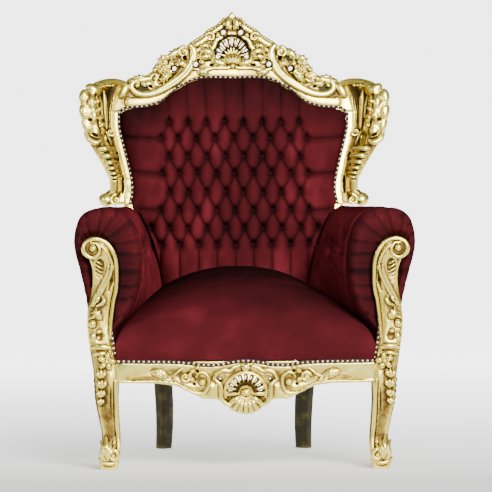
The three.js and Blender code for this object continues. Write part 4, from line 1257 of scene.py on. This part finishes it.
# ---------------------------------------------------------------- front legs
# Each front leg and arm post is one piece of beech, sawn to a double curve and carved: a
# scroll on top, a twisted band with leaves, a flower at the seat rail, husks and a leafed foot.
def squared(px, py, half_x, half_y, power):
    """Distance to a rounded rectangle that may change along its length."""
    return ((np.abs(px / half_x) ** power + np.abs(py / half_y) ** power) ** (1 / power) - 1) \
        * np.minimum(half_x, half_y)


def eased(table, column, z, width=14.0):
    """A column of a table, read along its first column and smoothed."""
    levels = [row[0] for row in table]
    values = [row[column] for row in table]
    return sum(np.interp(z + shift, levels, values) for shift in np.linspace(-width, width, 9)) / 9


def build_front_leg():
    low, high = (322, -381, -6), (438, -298, 624)
    wood = Carving(low, high, carving_step)
    spans, x, y, z = wood.window(low, high)
    middle, line, wide, deep = (eased(leg_table, k, z) for k in (1, 2, 3, 4))
    body = squared(x - middle, y - line, wide, deep, 4.0)
    wood.lay(spans, np.maximum(body, np.maximum(z - 612, -z)).astype(np.float32))

    def face(height):
        """Where the front face of the leg stands."""
        return float(eased(leg_table, 2, height) - eased(leg_table, 4, height))

    # drum of the scroll
    gap = np.hypot(x - scroll_x, z - scroll_z) - 29
    drum = np.maximum(gap, np.abs(y + 341) - 21)
    wood.lay(spans, np.broadcast_to(drum, wood.field[spans].shape).astype(np.float32), 2.0)
    # inner-edge band that climbs the post, turns over the top and winds into the scroll
    band = [(358, 352), (357, 380), (354, 411), (349, 449), (343, 474), (341, 500), (341, 517), (342, 550),
            (349, 576), (364, 599), (382, 610), (403, 613), (422, 604), (429, 589), (424, 573), (407, 563),
            (391, 570), (386, 585), (394, 600), (409, 601)]
    wood.tube([(bx, min(face(bz), -362) if bz > 556 else face(bz) + 1, bz) for bx, bz in band],
              [3.5, 4.5, 5, 5.2, 5.5, 5.5, 5.5, 5.5, 5.5, 5, 4.5, 3.6], 1.15, 0.0, 0.9, 150)
    fillet = [(352, 520), (353, 545), (360, 566), (372, 584), (384, 596)]
    wood.tube([(bx, face(bz) + 1, bz) for bx, bz in fillet], [3, 3.6, 3.6, 3], 1.3, 0.0, 0.7, 40)
    wood.blob((404, -366, 588), (9, 9, 9), 0, 0.0, 1.2)
    # twisted band in two strands across the post, a deep gap behind it
    wood.groove([(351, face(530) - 1, 528), (354, face(500) - 1, 500), (361, face(474) - 1, 474)],
                [2, 6.5, 3], 1.3, 30)
    for shift in (0, 9.5):
        strand = [(354 + shift * 0.9, 541), (358 + shift, 520), (367 + shift, 499), (380 + shift, 474),
                  (394 + shift * 0.8, 450), (403 + shift * 0.5, 436)]
        wood.tube([(bx, face(bz) - 1, bz) for bx, bz in strand], [3, 4.6, 5, 5, 4.4, 3], 1.0, 0.0, 0.9, 60)
    # sunk field above it with a few veins
    wood.dent((388, face(525) - 2, 530), (15, 7, 32), 8)
    for k in range(6):
        bz = 545 - 11 * k
        wood.tube([(380 - k * 0.8, face(bz) + 3, bz), (388 - k * 0.5, face(bz) + 1.5, bz + 4),
                   (397, face(bz) + 3, bz + 11)], [1.2, 2.2, 1.4], 1.2, 0.0, 0.4, 10)
    edge = [(411, 558), (403, 532), (399, 507), (400, 482), (406, 452), (411, 424)]
    wood.tube([(bx - 2, face(bz) + 6, bz) for bx, bz in edge], [3.5, 4, 3.5], 1.2, 0.8, 0.0, 60)
    # hooked leaf, small leaf and ball down the outer side
    wood.tube([(378, face(460), 460), (374, face(450) - 4, 449), (381, face(441) - 4, 440),
               (394, face(434) - 1, 434)], [3, 5.2, 5, 3], 1.1, 0.0, 1.0, 24)
    wood.blob((391, face(450), 452), (5.5, 7, 11), 30, 0.0, 0.9)
    wood.leaf([(382, face(400), 398), (391, face(412) - 4, 412), (403, face(425), 424)], 22, 7, 3)
    wood.blob((405, face(387) + 4, 387), (11, 13, 12), 0, 0.0, 1.3)
    wood.tube([(396, face(405) + 2, 408), (412, face(395) + 4, 402)], [5, 4], 1.2, 0.0, 0.8)
    # incised line inside the inner band, sunk block and its cap
    wood.groove([(366, face(440), 440), (368, face(410), 410), (369, face(376), 376)], [1.5], 1.4, 30)
    wood.dent((386, face(352) - 2, 356), (13, 8, 15), 0)
    wood.blob((388, face(362) + 1, 367), (7, 6, 6), 0, 0.0, 0.8)
    wood.blob((404, face(350) + 5, 352), (9, 9, 14), 20, 0.0, 1.0)
    wood.tube([(359, face(324) + 1, 324), (380, face(324) - 2, 327), (404, face(324) + 2, 324)],
              [6, 7, 6], 1.0, 0.0, 0.9, 20)
    wood.tube([(359, face(308) + 3, 308), (382, face(308) - 1, 309), (401, face(308) + 3, 307)],
              [5, 6, 5], 1.0, 0.0, 0.9, 20)
    # flower on the joint
    for angle in (100, 172, 244, 316, 388):
        c, s = heading(angle)
        wood.blob((368 + 14 * c, face(288) - 3, 288 + 14 * s), (11, 9, 8), angle, 0.0, 1.3)
    wood.blob((368, face(288) - 8, 288), (5.5, 6, 5.5), 0, 0.0, 1.0)
    # husks down the front, and beads down the outer edge
    for hx, hz, size in ((383, 255, 1.0), (381, 228, 0.94), (383, 203, 0.84), (384, 182, 0.7)):
        hy = face(hz) - 2
        for side in (-1, 1):
            wood.tube([(hx, hy + 2, hz - 11 * size), (hx + side * 8 * size, hy - 4, hz + size),
                       (hx + side * 9 * size, hy, hz + 10 * size)],
                      [3.4 * size, 6.2 * size, 3 * size], 1.1, 0.0, 0.9, 14)
        wood.blob((hx, hy - 3, hz + 2 * size), (4.6 * size, 7 * size, 12 * size), 0, 0.0, 0.9)
    for k in range(9):
        bz = 236 - 15 * k
        size = 1 - k * 0.06
        outer_edge = float(eased(leg_table, 1, bz) + eased(leg_table, 3, bz))
        wood.blob((outer_edge - 3, face(bz) + 13, bz), (5 * size, 8, 6.5 * size), -25, 0.0, 0.6)
    # ridge down the inner edge of the leg and the groove beside it
    ridge = [(345, 236), (344, 208), (343, 170), (341, 121), (338, 90), (337, 60), (342, 30)]
    wood.tube([(bx, face(bz) + 4, bz) for bx, bz in ridge], [6, 6, 6, 6, 6, 6, 4], 1.1, 0.0, 1.0, 70)
    wood.groove([(357, face(224) - 1, 224), (357, face(170) - 1, 170), (353, face(112) - 1, 112)],
                [1.5, 2.6, 1.5], 1.1, 30)
    # leafed foot over a plain toe
    wood.blob((368, face(44) + 1, 46), (20, 10, 22), 10, 0.0, 1.2)
    for tip_x, tip_z, r in ((383, 76, 6.5), (371, 86, 7.5), (358, 76, 6.5), (347, 64, 5.5)):
        wood.tube([(366, face(34) - 4, 34), (0.5 * (366 + tip_x), face(54) - 8, 0.5 * (34 + tip_z)),
                   (tip_x, face(tip_z) - 1, tip_z)], [r * 0.8, r * 1.1, r * 0.6], 0.9, 0.0, 1.0, 16)
    wood.scroll((350, -368, 38), 15, 100, 1.1, 6.0, 1, 1.0)
    wood.tube([(340, -362, 24), (356, -368, 17), (374, -367, 20), (389, -358, 30)],
              [3.5, 5, 5, 3], 1.0, 0.0, 0.9, 24)
    wood.cut(*wood.board_distance([(300, -12), (346, -12), (334, 14), (300, 30)], -400, -280, 0.1))
    wood.cut(*wood.board_distance([(440, -12), (379, -12), (392, 16), (440, 30)], -400, -280, 0.1))
    wood.field[:, :, wood.axes[2] < 0.8] = 6.0
    verts, faces, hollow = wood.skin()
    # painted shade: darker low down on the leg, on the outer side of the post, on the side faces of the leg, a
    # little on the inner edge and at the foot's base, and the flat of the post left bright
    x, _, z = verts.T
    middle, wide = eased(leg_table, 1, z), eased(leg_table, 3, z)
    low = ramp(z, 236, 196) * np.clip((z - 70) / 20, 0.3, 1)
    hollow = hollow + low * np.where(x > middle - wide * 0.62, 0.060, 0.044)
    post = ramp(z, 236, 266) * ramp(z, 600, 570)
    outer = np.clip((x - middle - wide * 0.62) / 6, 0, 1)
    hollow = hollow + post * (0.010 + 0.055 * outer) + 0.35 * np.clip(hollow - 0.51, 0, 0.2)
    edges = np.clip((np.abs(x - middle) - wide * 0.86) / 3, 0, 1) * np.where(x > middle, 1, 0.8)
    hollow = hollow + 0.26 * edges * ramp(z, 330, 290) * ramp(z, 60, 90)
    inner_edge = np.clip((middle - wide * 0.5 - x) / 4, 0, 1)
    hollow = hollow + 0.020 * inner_edge * ramp(z, 222, 192) * ramp(z, 80, 100)
    hollow = hollow + 0.07 * ramp(z, 22, 16)
    return verts, faces, hollow


right_verts, right_faces, hollow = build_front_leg()
for node in ("front_leg_left", "front_leg_right"):
    verts, faces = mirrored_faces(right_verts, right_faces, side_of(node))
    leg = piece_from("carved_" + node, verts, faces, gilding, {"hollow": hollow})
    thin_out(leg, 0.42)
    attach(leg, "root")
    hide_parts(node)


# ---------------------------------------------------------------- front rail
# The apron: a board with a waved lower edge and a double band along it, a leaf, a flower and
# a scroll on each half, and in the middle a round shell with pierced slots and side scrolls.
apron_edge = [
    (0, 147), (16, 149), (37, 157), (47, 168), (63, 184), (82, 187), (113, 188), (134, 199), (161, 213),
    (187, 223), (232, 229), (345, 231)]
apron_top = [(345, 284), (254, 283), (190, 282), (149, 279), (110, 274), (70, 275), (38, 281), (0, 285)]


def shell_slot(k, start):
    """The two ends of one of the slots between the shell's rays, seen from the front."""
    c, s = heading(6.5 + k * 188 / 9)
    return [(start * c, 205 + start * s), (43 * c, 205 + 42 * s)]


def build_apron():
    wood = Carving((-343, -378, 141), (343, -330, 292), carving_step)
    wood.board(both_halves(apron_edge + apron_top), -362, -336, 3.0)
    ledge = [(-341, 246), (341, 246), (341, 287), (-341, 287)]
    wood.board(ledge, -346, -334, 1.5)
    for side in (-1, 1):
        half = Half(wood, side)
        half.dent((146, -366, 244), (50, 8, 22), side * 12)
        half.dent((86, -366, 244), (20, 8, 26), 0)
        # double band along the lower edge, its end curling up round a ball
        lower = [(338, 236), (300, 235), (226, 234), (182, 227), (154, 213), (128, 203), (108, 207), (98, 226),
                 (99, 246), (112, 258), (126, 256), (131, 246)]
        half.tube([(bx, -363, bz) for bx, bz in lower],
                  [3.2, 3.6, 4.4, 5, 5, 4.4, 4, 3], 1.2, 0.0, 0.9, 150)
        lowest = [max(bz - 7, np.interp(bx, *zip(*apron_edge)) + 4) for bx, bz in lower[1:7]]
        half.tube([(bx, -363, bz) for (bx, _), bz in zip(lower[1:7], lowest)],
                  [2.4, 2.8, 3.4, 3], 1.2, 0.0, 0.7, 90)
        half.blob((115, -365, 232), (9, 9, 9), 0, 0.0, 1.2)
        # leaf with a vein, its stem, flower scroll and petals
        spine = [(203, -362, 247), (228, -364, 256), (253, -362, 260)]
        half.tube(spine, [2.5, 9, 12, 9, 2.5], 0.55, 0.0, 1.4, 30)
        half.groove([(x, y - 7, z) for x, y, z in spine], [0.8, 1.6, 0.8], 1.4, 24)
        for k in (-1, 0, 1):
            for rise in (-1, 1):
                half.groove([(226 + 12 * k, -370, 256 + 2 * k), (234 + 12 * k, -367, 258 + 2 * k + 9 * rise)],
                            [0.7, 1.2], 1.4)
        half.tube([(204, -363, 247), (190, -364, 252), (178, -364, 262), (166, -363, 270)],
                  [3, 3.6, 3.6, 2], 1.2, 0.0, 0.8, 30)
        half.leaf([(190, -363, 238), (206, -365, 240), (226, -363, 244)], 12, 6, 2)
        half.scroll((160, -364, 246), 14, 30, 1.3, 4.6, side, 1.2)
        half.blob((141, -364, 262), (8, 8, 6), side * -30, 0.0, 1.0)
        half.blob((142, -364, 240), (8, 8, 6), side * 30, 0.0, 1.0)
        half.blob((128, -364, 272), (9, 7, 5), side * -10, 0.0, 0.9)
        half.dent((128, -364, 262), (4.5, 14, 4))
        half.dent((136, -364, 228), (4.5, 14, 4))
        # side scroll of the medallion with its pierced eye
        cee = [(84, 240), (76, 256), (60, 264), (44, 262), (34, 270), (18, 276)]
        half.tube([(bx, -363, bz) for bx, bz in cee], [4, 6, 6.5, 5.5, 5, 4], 1.1, 0.0, 0.9, 60)
        hug = [(80, 238), (68, 226), (66, 208), (64, 190), (52, 176), (38, 174), (30, 184), (36, 192)]
        half.tube([(bx, -364, bz) for bx, bz in hug],
                  [3.5, 6, 6.5, 6.5, 6, 5.5, 5, 3.5], 1.1, 0.0, 0.9, 80)
        half.dent((66, -364, 240), (5.5, 30, 5.5))
        half.dent((50, -364, 198), (3.6, 20, 3.6))
    # shell: a ring, bright rays with slots between them, a hub and broad lower petals
    ring = [(55 * math.cos(a), -363, 205 + 52 * math.sin(a)) for a in np.radians(range(-14, 200, 8))]
    wood.dent((0, -366, 208), (50, 8, 48))
    wood.tube(ring, [4, 5.5, 4], 1.2, 0.0, 0.8, 90)
    for k in range(10):
        c, s = heading(-4 + k * 188 / 9)
        wood.tube([(10 * c, -363, 205 + 10 * s), (30 * c, -367, 205 + 30 * s), (46 * c, -363, 205 + 45 * s)],
                  [3.2, 6.2, 7.6], 1.0, 0.0, 0.3, 12)
    for k in range(9):
        for y in np.arange(-372, -326, 5.0):
            wood.groove([(x, y, z) for x, z in shell_slot(k, 23)], [1.4, 3.4])
    for angle in range(210, 331, 20):
        c, s = heading(angle)
        wood.tube([(12 * c, -364, 203 + 12 * s), (30 * c, -369, 203 + 32 * s), (44 * c, -364, 203 + 50 * s)],
                  [3, 7, 7.5], 0.9, 0.0, 0.9, 14)
    wood.blob((0, -366, 205), (13, 9, 9), 0, 0.0, 1.2)
    wood.groove([(9 * math.cos(a), -375, 205 + 6 * math.sin(a)) for a in np.linspace(0, 6.283, 20)],
                [1.0], 1.6, 20)
    wood.leaf([(0, -363, 262), (0, -366, 270), (0, -363, 282)], 22, 6, 2)
    verts, faces, hollow = wood.skin()
    # Painted light on the leaf: the flats a little lighter, the sunk medallion and the carving round the ball
    # and the flower scroll painted darker as shade, a painted highlight on the plain ends, and the pierced
    # eyes and the shell's slots painted dark as shade inside them.
    hollow = hollow - 0.012 * (hollow > 0.5)
    hollow = paint_shade_along(hollow, verts, (0, 205), (0, 206), 46, 0.022, 14.0)
    for side in (-1, 1):
        hollow = paint_shade_along(hollow, verts, (side * 272, 262), (side * 345, 264), 14, -0.11, 8.0)
        hollow = paint_shade_along(hollow, verts, (side * 66, 240), (side * 66.1, 240), 7, 0.16)
        hollow = paint_shade_along(hollow, verts, (side * 112, 236), (side * 166, 250), 16, 0.018, 12.0)
    for k in range(9):
        hollow = paint_shade_along(hollow, verts, *shell_slot(k, 24), 4.0, 0.20)
    return verts, faces, hollow


verts, faces, hollow = build_apron()
apron = piece_from("carved_apron", verts, faces, gilding, {"hollow": hollow})
thin_out(apron, 0.42)
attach(apron, "root")
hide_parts("front_rail")


# ---------------------------------------------------------------- rear legs
# Square rear legs that kick back at the foot, stained dark below the seat, and gilt stiles
# above it that carry the crest; the plain strip beside the velvet is part of each stile.
dark_wood = Finish("dark_wood")
grain = dark_wood.noise(14.0, 4.0, (5.0, 5.0, 0.5))
scuff = dark_wood.noise(26.0, 3.0)
inside_corner = dark_wood.node("ShaderNodeAttribute", {"attribute_name": "hollow"}, output="Fac")
edge_wear = (0.43 - inside_corner).clamped() * 2.2
black_stain, brown_stain = (0.011, 0.0102, 0.0022, 1.0), (0.036, 0.030, 0.0075, 1.0)
worn_wood = (0.125, 0.094, 0.028, 1.0)
dark_wood.feed(dark_wood.shader, {
    "Base Color": dark_wood.node("ShaderNodeValToRGB", {"stops": [
        (0.28, black_stain), (0.52, brown_stain), (0.74, worn_wood)]},
        {"Fac": (grain * 0.08 + scuff * 0.88 + edge_wear).clamped()}),
    "Specular IOR Level": 0.22,
    "Roughness": 0.38 + scuff * 0.25,
    "Normal": dark_wood.bump(scuff, 0.10, 0.002),
})
# height, middle from the centre line, line of the leg, half width and half depth
rear_table = [
    (0, 190, 254, 24, 21), (60, 188, 243, 25, 22), (130, 190, 232, 26, 23), (200, 195, 226, 26, 24),
    (292, 194, 224, 27, 20), (380, 210, 222, 26, 14), (480, 240, 227, 25, 14), (580, 262, 240, 24, 14),
    (680, 273, 257, 24, 14)]


dark_below = 300


def build_rear_leg():
    plain_step = 2.2
    wood = Carving((156, -22, -6), (336, 160, 930), plain_step)
    spans, x, y, z = wood.window((156, -22, -6), (336, 160, 700))
    middle, line, wide, deep = (eased(rear_table, k, z, 20.0) for k in (1, 2, 3, 4))
    body = squared(x - middle, y + rake(z) - line, wide, deep, 9.0)
    chamfer = (np.abs(x - middle - 6) + np.abs(y + rake(z) - line) - (wide + deep - 19)) * 0.707
    body = np.maximum(body, np.where(z < 285, chamfer, -5))
    wood.lay(spans, np.maximum(body, np.maximum(z - 676, -z)).astype(np.float32))
    # the strip beside the velvet, with a groove along it
    edge = [p for p in velvet_edge if p[1] <= 926]
    outer = [(ex + 20, ez) for ex, ez in edge]
    inner = [(ex - 22, ez) for ex, ez in edge][::-1]
    outline = [(outer[0][0], 927.4)] + outer + [(299, 640), (255, 640)] + inner + [(inner[-1][0], 927.4)]
    wood.board(outline, 0.5, 33.5, 2.5)
    wood.groove([(ex + 17, -1, ez) for ex, ez in edge[1:]], [1.3], 1.0, 90)
    # both ends sawn flat
    wood.field[:, :, wood.axes[2] < 1.0] = 6.0
    wood.field[:, :, wood.axes[2] > 927.6] = 6.0
    verts, faces, hollow = wood.skin()
    verts[:, 1] += rake(verts[:, 2])
    return verts, faces, hollow


right_verts, right_faces, hollow = build_rear_leg()
for node in ("rear_leg_left", "rear_leg_right"):
    verts, faces = mirrored_faces(right_verts, right_faces, side_of(node))
    leg = piece_from("sawn_" + node, verts, faces, gilding, {"hollow": hollow})
    leg.data.materials.append(dark_wood.material)
    heights = verts[faces].mean(1)[:, 2]
    if len(heights) == len(leg.data.polygons):
        leg.data.polygons.foreach_set("material_index", (heights < dark_below).astype(np.int32))
    thin_out(leg, 0.35)
    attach(leg, "root")
    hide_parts(node)


# ---------------------------------------------------------------- side and back rails
# Plain gilt rails between the legs, moulded outside and slightly arched below, and a flat
# stained rail across the back.
def sweep(sections):
    """A skin over sections of equal count, with its two ends closed."""
    sections = np.asarray(sections, float)
    return capped(sections, [sections[0].mean(0), sections[-1].mean(0)])


def rounded(profile, radius, steps=4):
    """A profile with each corner replaced by a short curve."""
    profile = np.asarray(profile, float)
    out = []
    for before, here, after in zip(np.roll(profile, 1, 0), profile, np.roll(profile, -1, 0)):
        start, end = (here + way / np.linalg.norm(way) * min(radius, np.linalg.norm(way) * 0.45)
                      for way in (before - here, after - here))
        for t in np.linspace(0, 1, steps):
            out.append((1 - t) ** 2 * start + 2 * t * (1 - t) * here + t ** 2 * end)
    return np.array(out)


rail_start, rail_end, rail_top = np.array([378.0, -312.0]), np.array([206.0, 204.0]), 287.4
ahead = (rail_end - rail_start) / np.linalg.norm(rail_end - rail_start)
inward = np.array([-ahead[1], ahead[0]])
sections = []
for t in np.linspace(0.012, 0.985, 70):
    low = 232 + 10 * math.sin(math.pi * t)
    profile = rounded([(0, low + 6), (5, low), (30, low), (30, rail_top), (2, rail_top), (2, 276),
                       (-2, 270), (-2, low + 22), (2, low + 17), (-1.5, low + 12)], 3.0)
    place = rail_start + (rail_end - rail_start) * t
    sections.append([(*(place + inward * d), z) for d, z in profile])
for node in ("side_rail_left", "side_rail_right"):
    verts, faces = mirrored_faces(*sweep(sections), side_of(node))
    rail = from_quads("moulded_" + node, verts, faces, gilding,
                      {"hollow": np.full(len(verts), 0.5)})
    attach(rail, "root")
    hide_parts(node)

profile = rounded([(209, 232), (235, 232), (235, 287.6), (209, 287.6)], 2.5)
verts, faces = sweep([[(x, y, z) for y, z in profile] for x in np.linspace(-164.6, 164.6, 30)])
rail = from_quads("back_rail_board", verts, faces, dark_wood, {"hollow": np.full(len(verts), 0.5)})
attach(rail, "root")
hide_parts("back_rail")


# ---------------------------------------------------------------- outside back
# Plain velvet stretched over the rear of the frame, a thin wadding under it, its edge turned
# in and slip-stitched.
def build_outside_back():
    bottom, inset, columns, rows = 290.0, 8, 90, 96
    u, v = np.meshgrid(np.linspace(-1, 1, columns), np.linspace(0, 1, rows))
    top = top_edge(302 * u) - inset
    z = bottom + v * (top - bottom)
    levels = [289, 380, 446, 452, 540, 640] + [p[1] - inset for p in velvet_edge[:8:-1]]
    widths = [162, 180, 200, 222, 240, 262] + [p[0] - inset for p in velvet_edge[:8:-1]]
    width = np.interp(z, levels, widths)
    x = u * width
    inward = np.minimum((1 - np.abs(u)) * width, np.minimum(1 - v, v) * (top - bottom))
    puff = 8.4 * (1 - np.exp(-inward / 7.0)) - 1.6 * np.exp(-((inward - 9) / 2.2) ** 2)
    waves = wobble(np.random.default_rng(5), np.stack([x, z], -1), 0.5, 120.0)
    puff = puff + waves * np.clip(inward / 30, 0, 1)
    front = np.stack([x, rake(z) + frame_thickness + 0.5, z], -1).reshape(-1, 3)
    rear = np.stack([x, rake(z) + frame_thickness + 1.0 + puff, z], -1).reshape(-1, 3)
    faces = grid_faces(rows, columns)
    rim = grid_rim(rows, columns)
    following = np.roll(rim, -1)
    wall = np.stack([rim, rim + len(front), following + len(front), following], 1)
    return np.vstack([front, rear]), np.concatenate([faces, faces[:, ::-1] + len(front), wall])


verts, faces = build_outside_back()
outside = from_quads("outside_back_panel", verts, faces, velvet,
                     {"nap": np.full(len(verts), 0.5)})
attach(outside, "root")
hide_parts("outside_back")

# ---------------------------------------------------------------- nails and gimp
# Domed brass nails, set close over a narrow near-black braid that hides the cut edge of the velvet and also
# stands for the painted shade along the nail line: round the inside back, along the top of the apron and up
# the inner edge of both posts.
brass = Finish("nail_brass")
tarnish = brass.noise(300.0, 2.0)
brass.feed(brass.shader, {
    "Base Color": brass.mix(tarnish, (0.95, 0.80, 0.50, 1.0), (0.80, 0.62, 0.34, 1.0)),
    "Metallic": 0.85, "Roughness": 0.22 + tarnish * 0.15})
braid_and_shade = Finish("braid_and_shade")
weave = braid_and_shade.noise(700.0, 2.0)
braid_and_shade.feed(braid_and_shade.shader, {
    "Base Color": braid_and_shade.mix(weave, (0.006, 0.003, 0.003, 1.0), (0.035, 0.012, 0.012, 1.0)),
    "Roughness": 0.9, "Normal": braid_and_shade.bump(weave, 0.5, 0.001)})


def paced(points, pitch):
    """Points at an even pitch along a line."""
    points = spline(points, 40 * len(points))
    lengths = np.concatenate([[0], np.cumsum(np.linalg.norm(np.diff(points, axis=0), axis=1))])
    at = np.linspace(0, lengths[-1], int(lengths[-1] / pitch) + 1)
    return np.stack([np.interp(at, lengths, points[:, k]) for k in range(3)], 1)


def back_line():
    """Round the inside back, from one arm up, across and down to the other."""
    half = [(x + (3 if z < 930 else 0), z + (3 if z > 930 else 0)) for x, z in velvet_edge[1:]]
    half = half + [(284, 655)]
    whole = [(-x, z) for x, z in half[::-1]] + [(0, velvet_edge[0][1] + 3)] + half
    return [(x, rake(z) - 1.0, z) for x, z in whole]


def apron_line():
    """Along the top of the apron."""
    half = [(336, 288.5)] + [(x, z + 4.5) for x, z in apron_top[1:]]
    whole = [(-x, z) for x, z in half[:-1]] + half[::-1]
    return [(x, -366.0, z) for x, z in whole]


def post_line(side):
    """Up the inner edge of one arm post."""
    return [(side * (float(eased(leg_table, 1, z) - eased(leg_table, 3, z)) - 2.5), -347.0, z)
            for z in (296, 330, 370, 410, 450, 480, 510, 540, 565, 585)]


def joined(meshes):
    """Several sets of corners and faces as one."""
    starts = np.cumsum([0] + [len(verts) for verts, _ in meshes])
    return (np.vstack([verts for verts, _ in meshes]),
            np.concatenate([faces + start for (_, faces), start in zip(meshes, starts)]))


nail_pitch, nail_radius, nail_height, braid_step = 13.2, 3.5, 2.8, 4.0
head, head_faces = dome(nail_radius, nail_height, 10, 3)
heads, ribbons = [], []
for line in (back_line(), apron_line(), post_line(-1), post_line(1)):
    heads += [(head + point, head_faces) for point in paced(line, nail_pitch)]
    track = paced(line, braid_step)
    ahead = np.gradient(track, axis=0)
    across = np.stack([-ahead[:, 2], np.zeros(len(track)), ahead[:, 0]], 1)
    across /= np.linalg.norm(across, axis=1, keepdims=True)
    profile = rounded([(-4.2, 2.5), (-4.2, -1.0), (4.2, -1.0), (4.2, 2.5)], 1.2, 3)
    wave = 0.7 * np.sin(np.arange(len(track)) * 2.1)
    ribbons.append(sweep([[point + way * (w + stray) + np.array([0, d, 0]) for w, d in profile]
                          for point, way, stray in zip(track, across, wave)]))
nails = from_quads("brass_nails", *joined(heads), brass)
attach(nails, "root")
gimp_and_shade = from_quads("braid_and_shade_under_nails", *joined(ribbons), braid_and_shade)
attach(gimp_and_shade, "root")

size = {"cad": cad_box, "visual": [list(map(float, corner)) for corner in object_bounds()]}
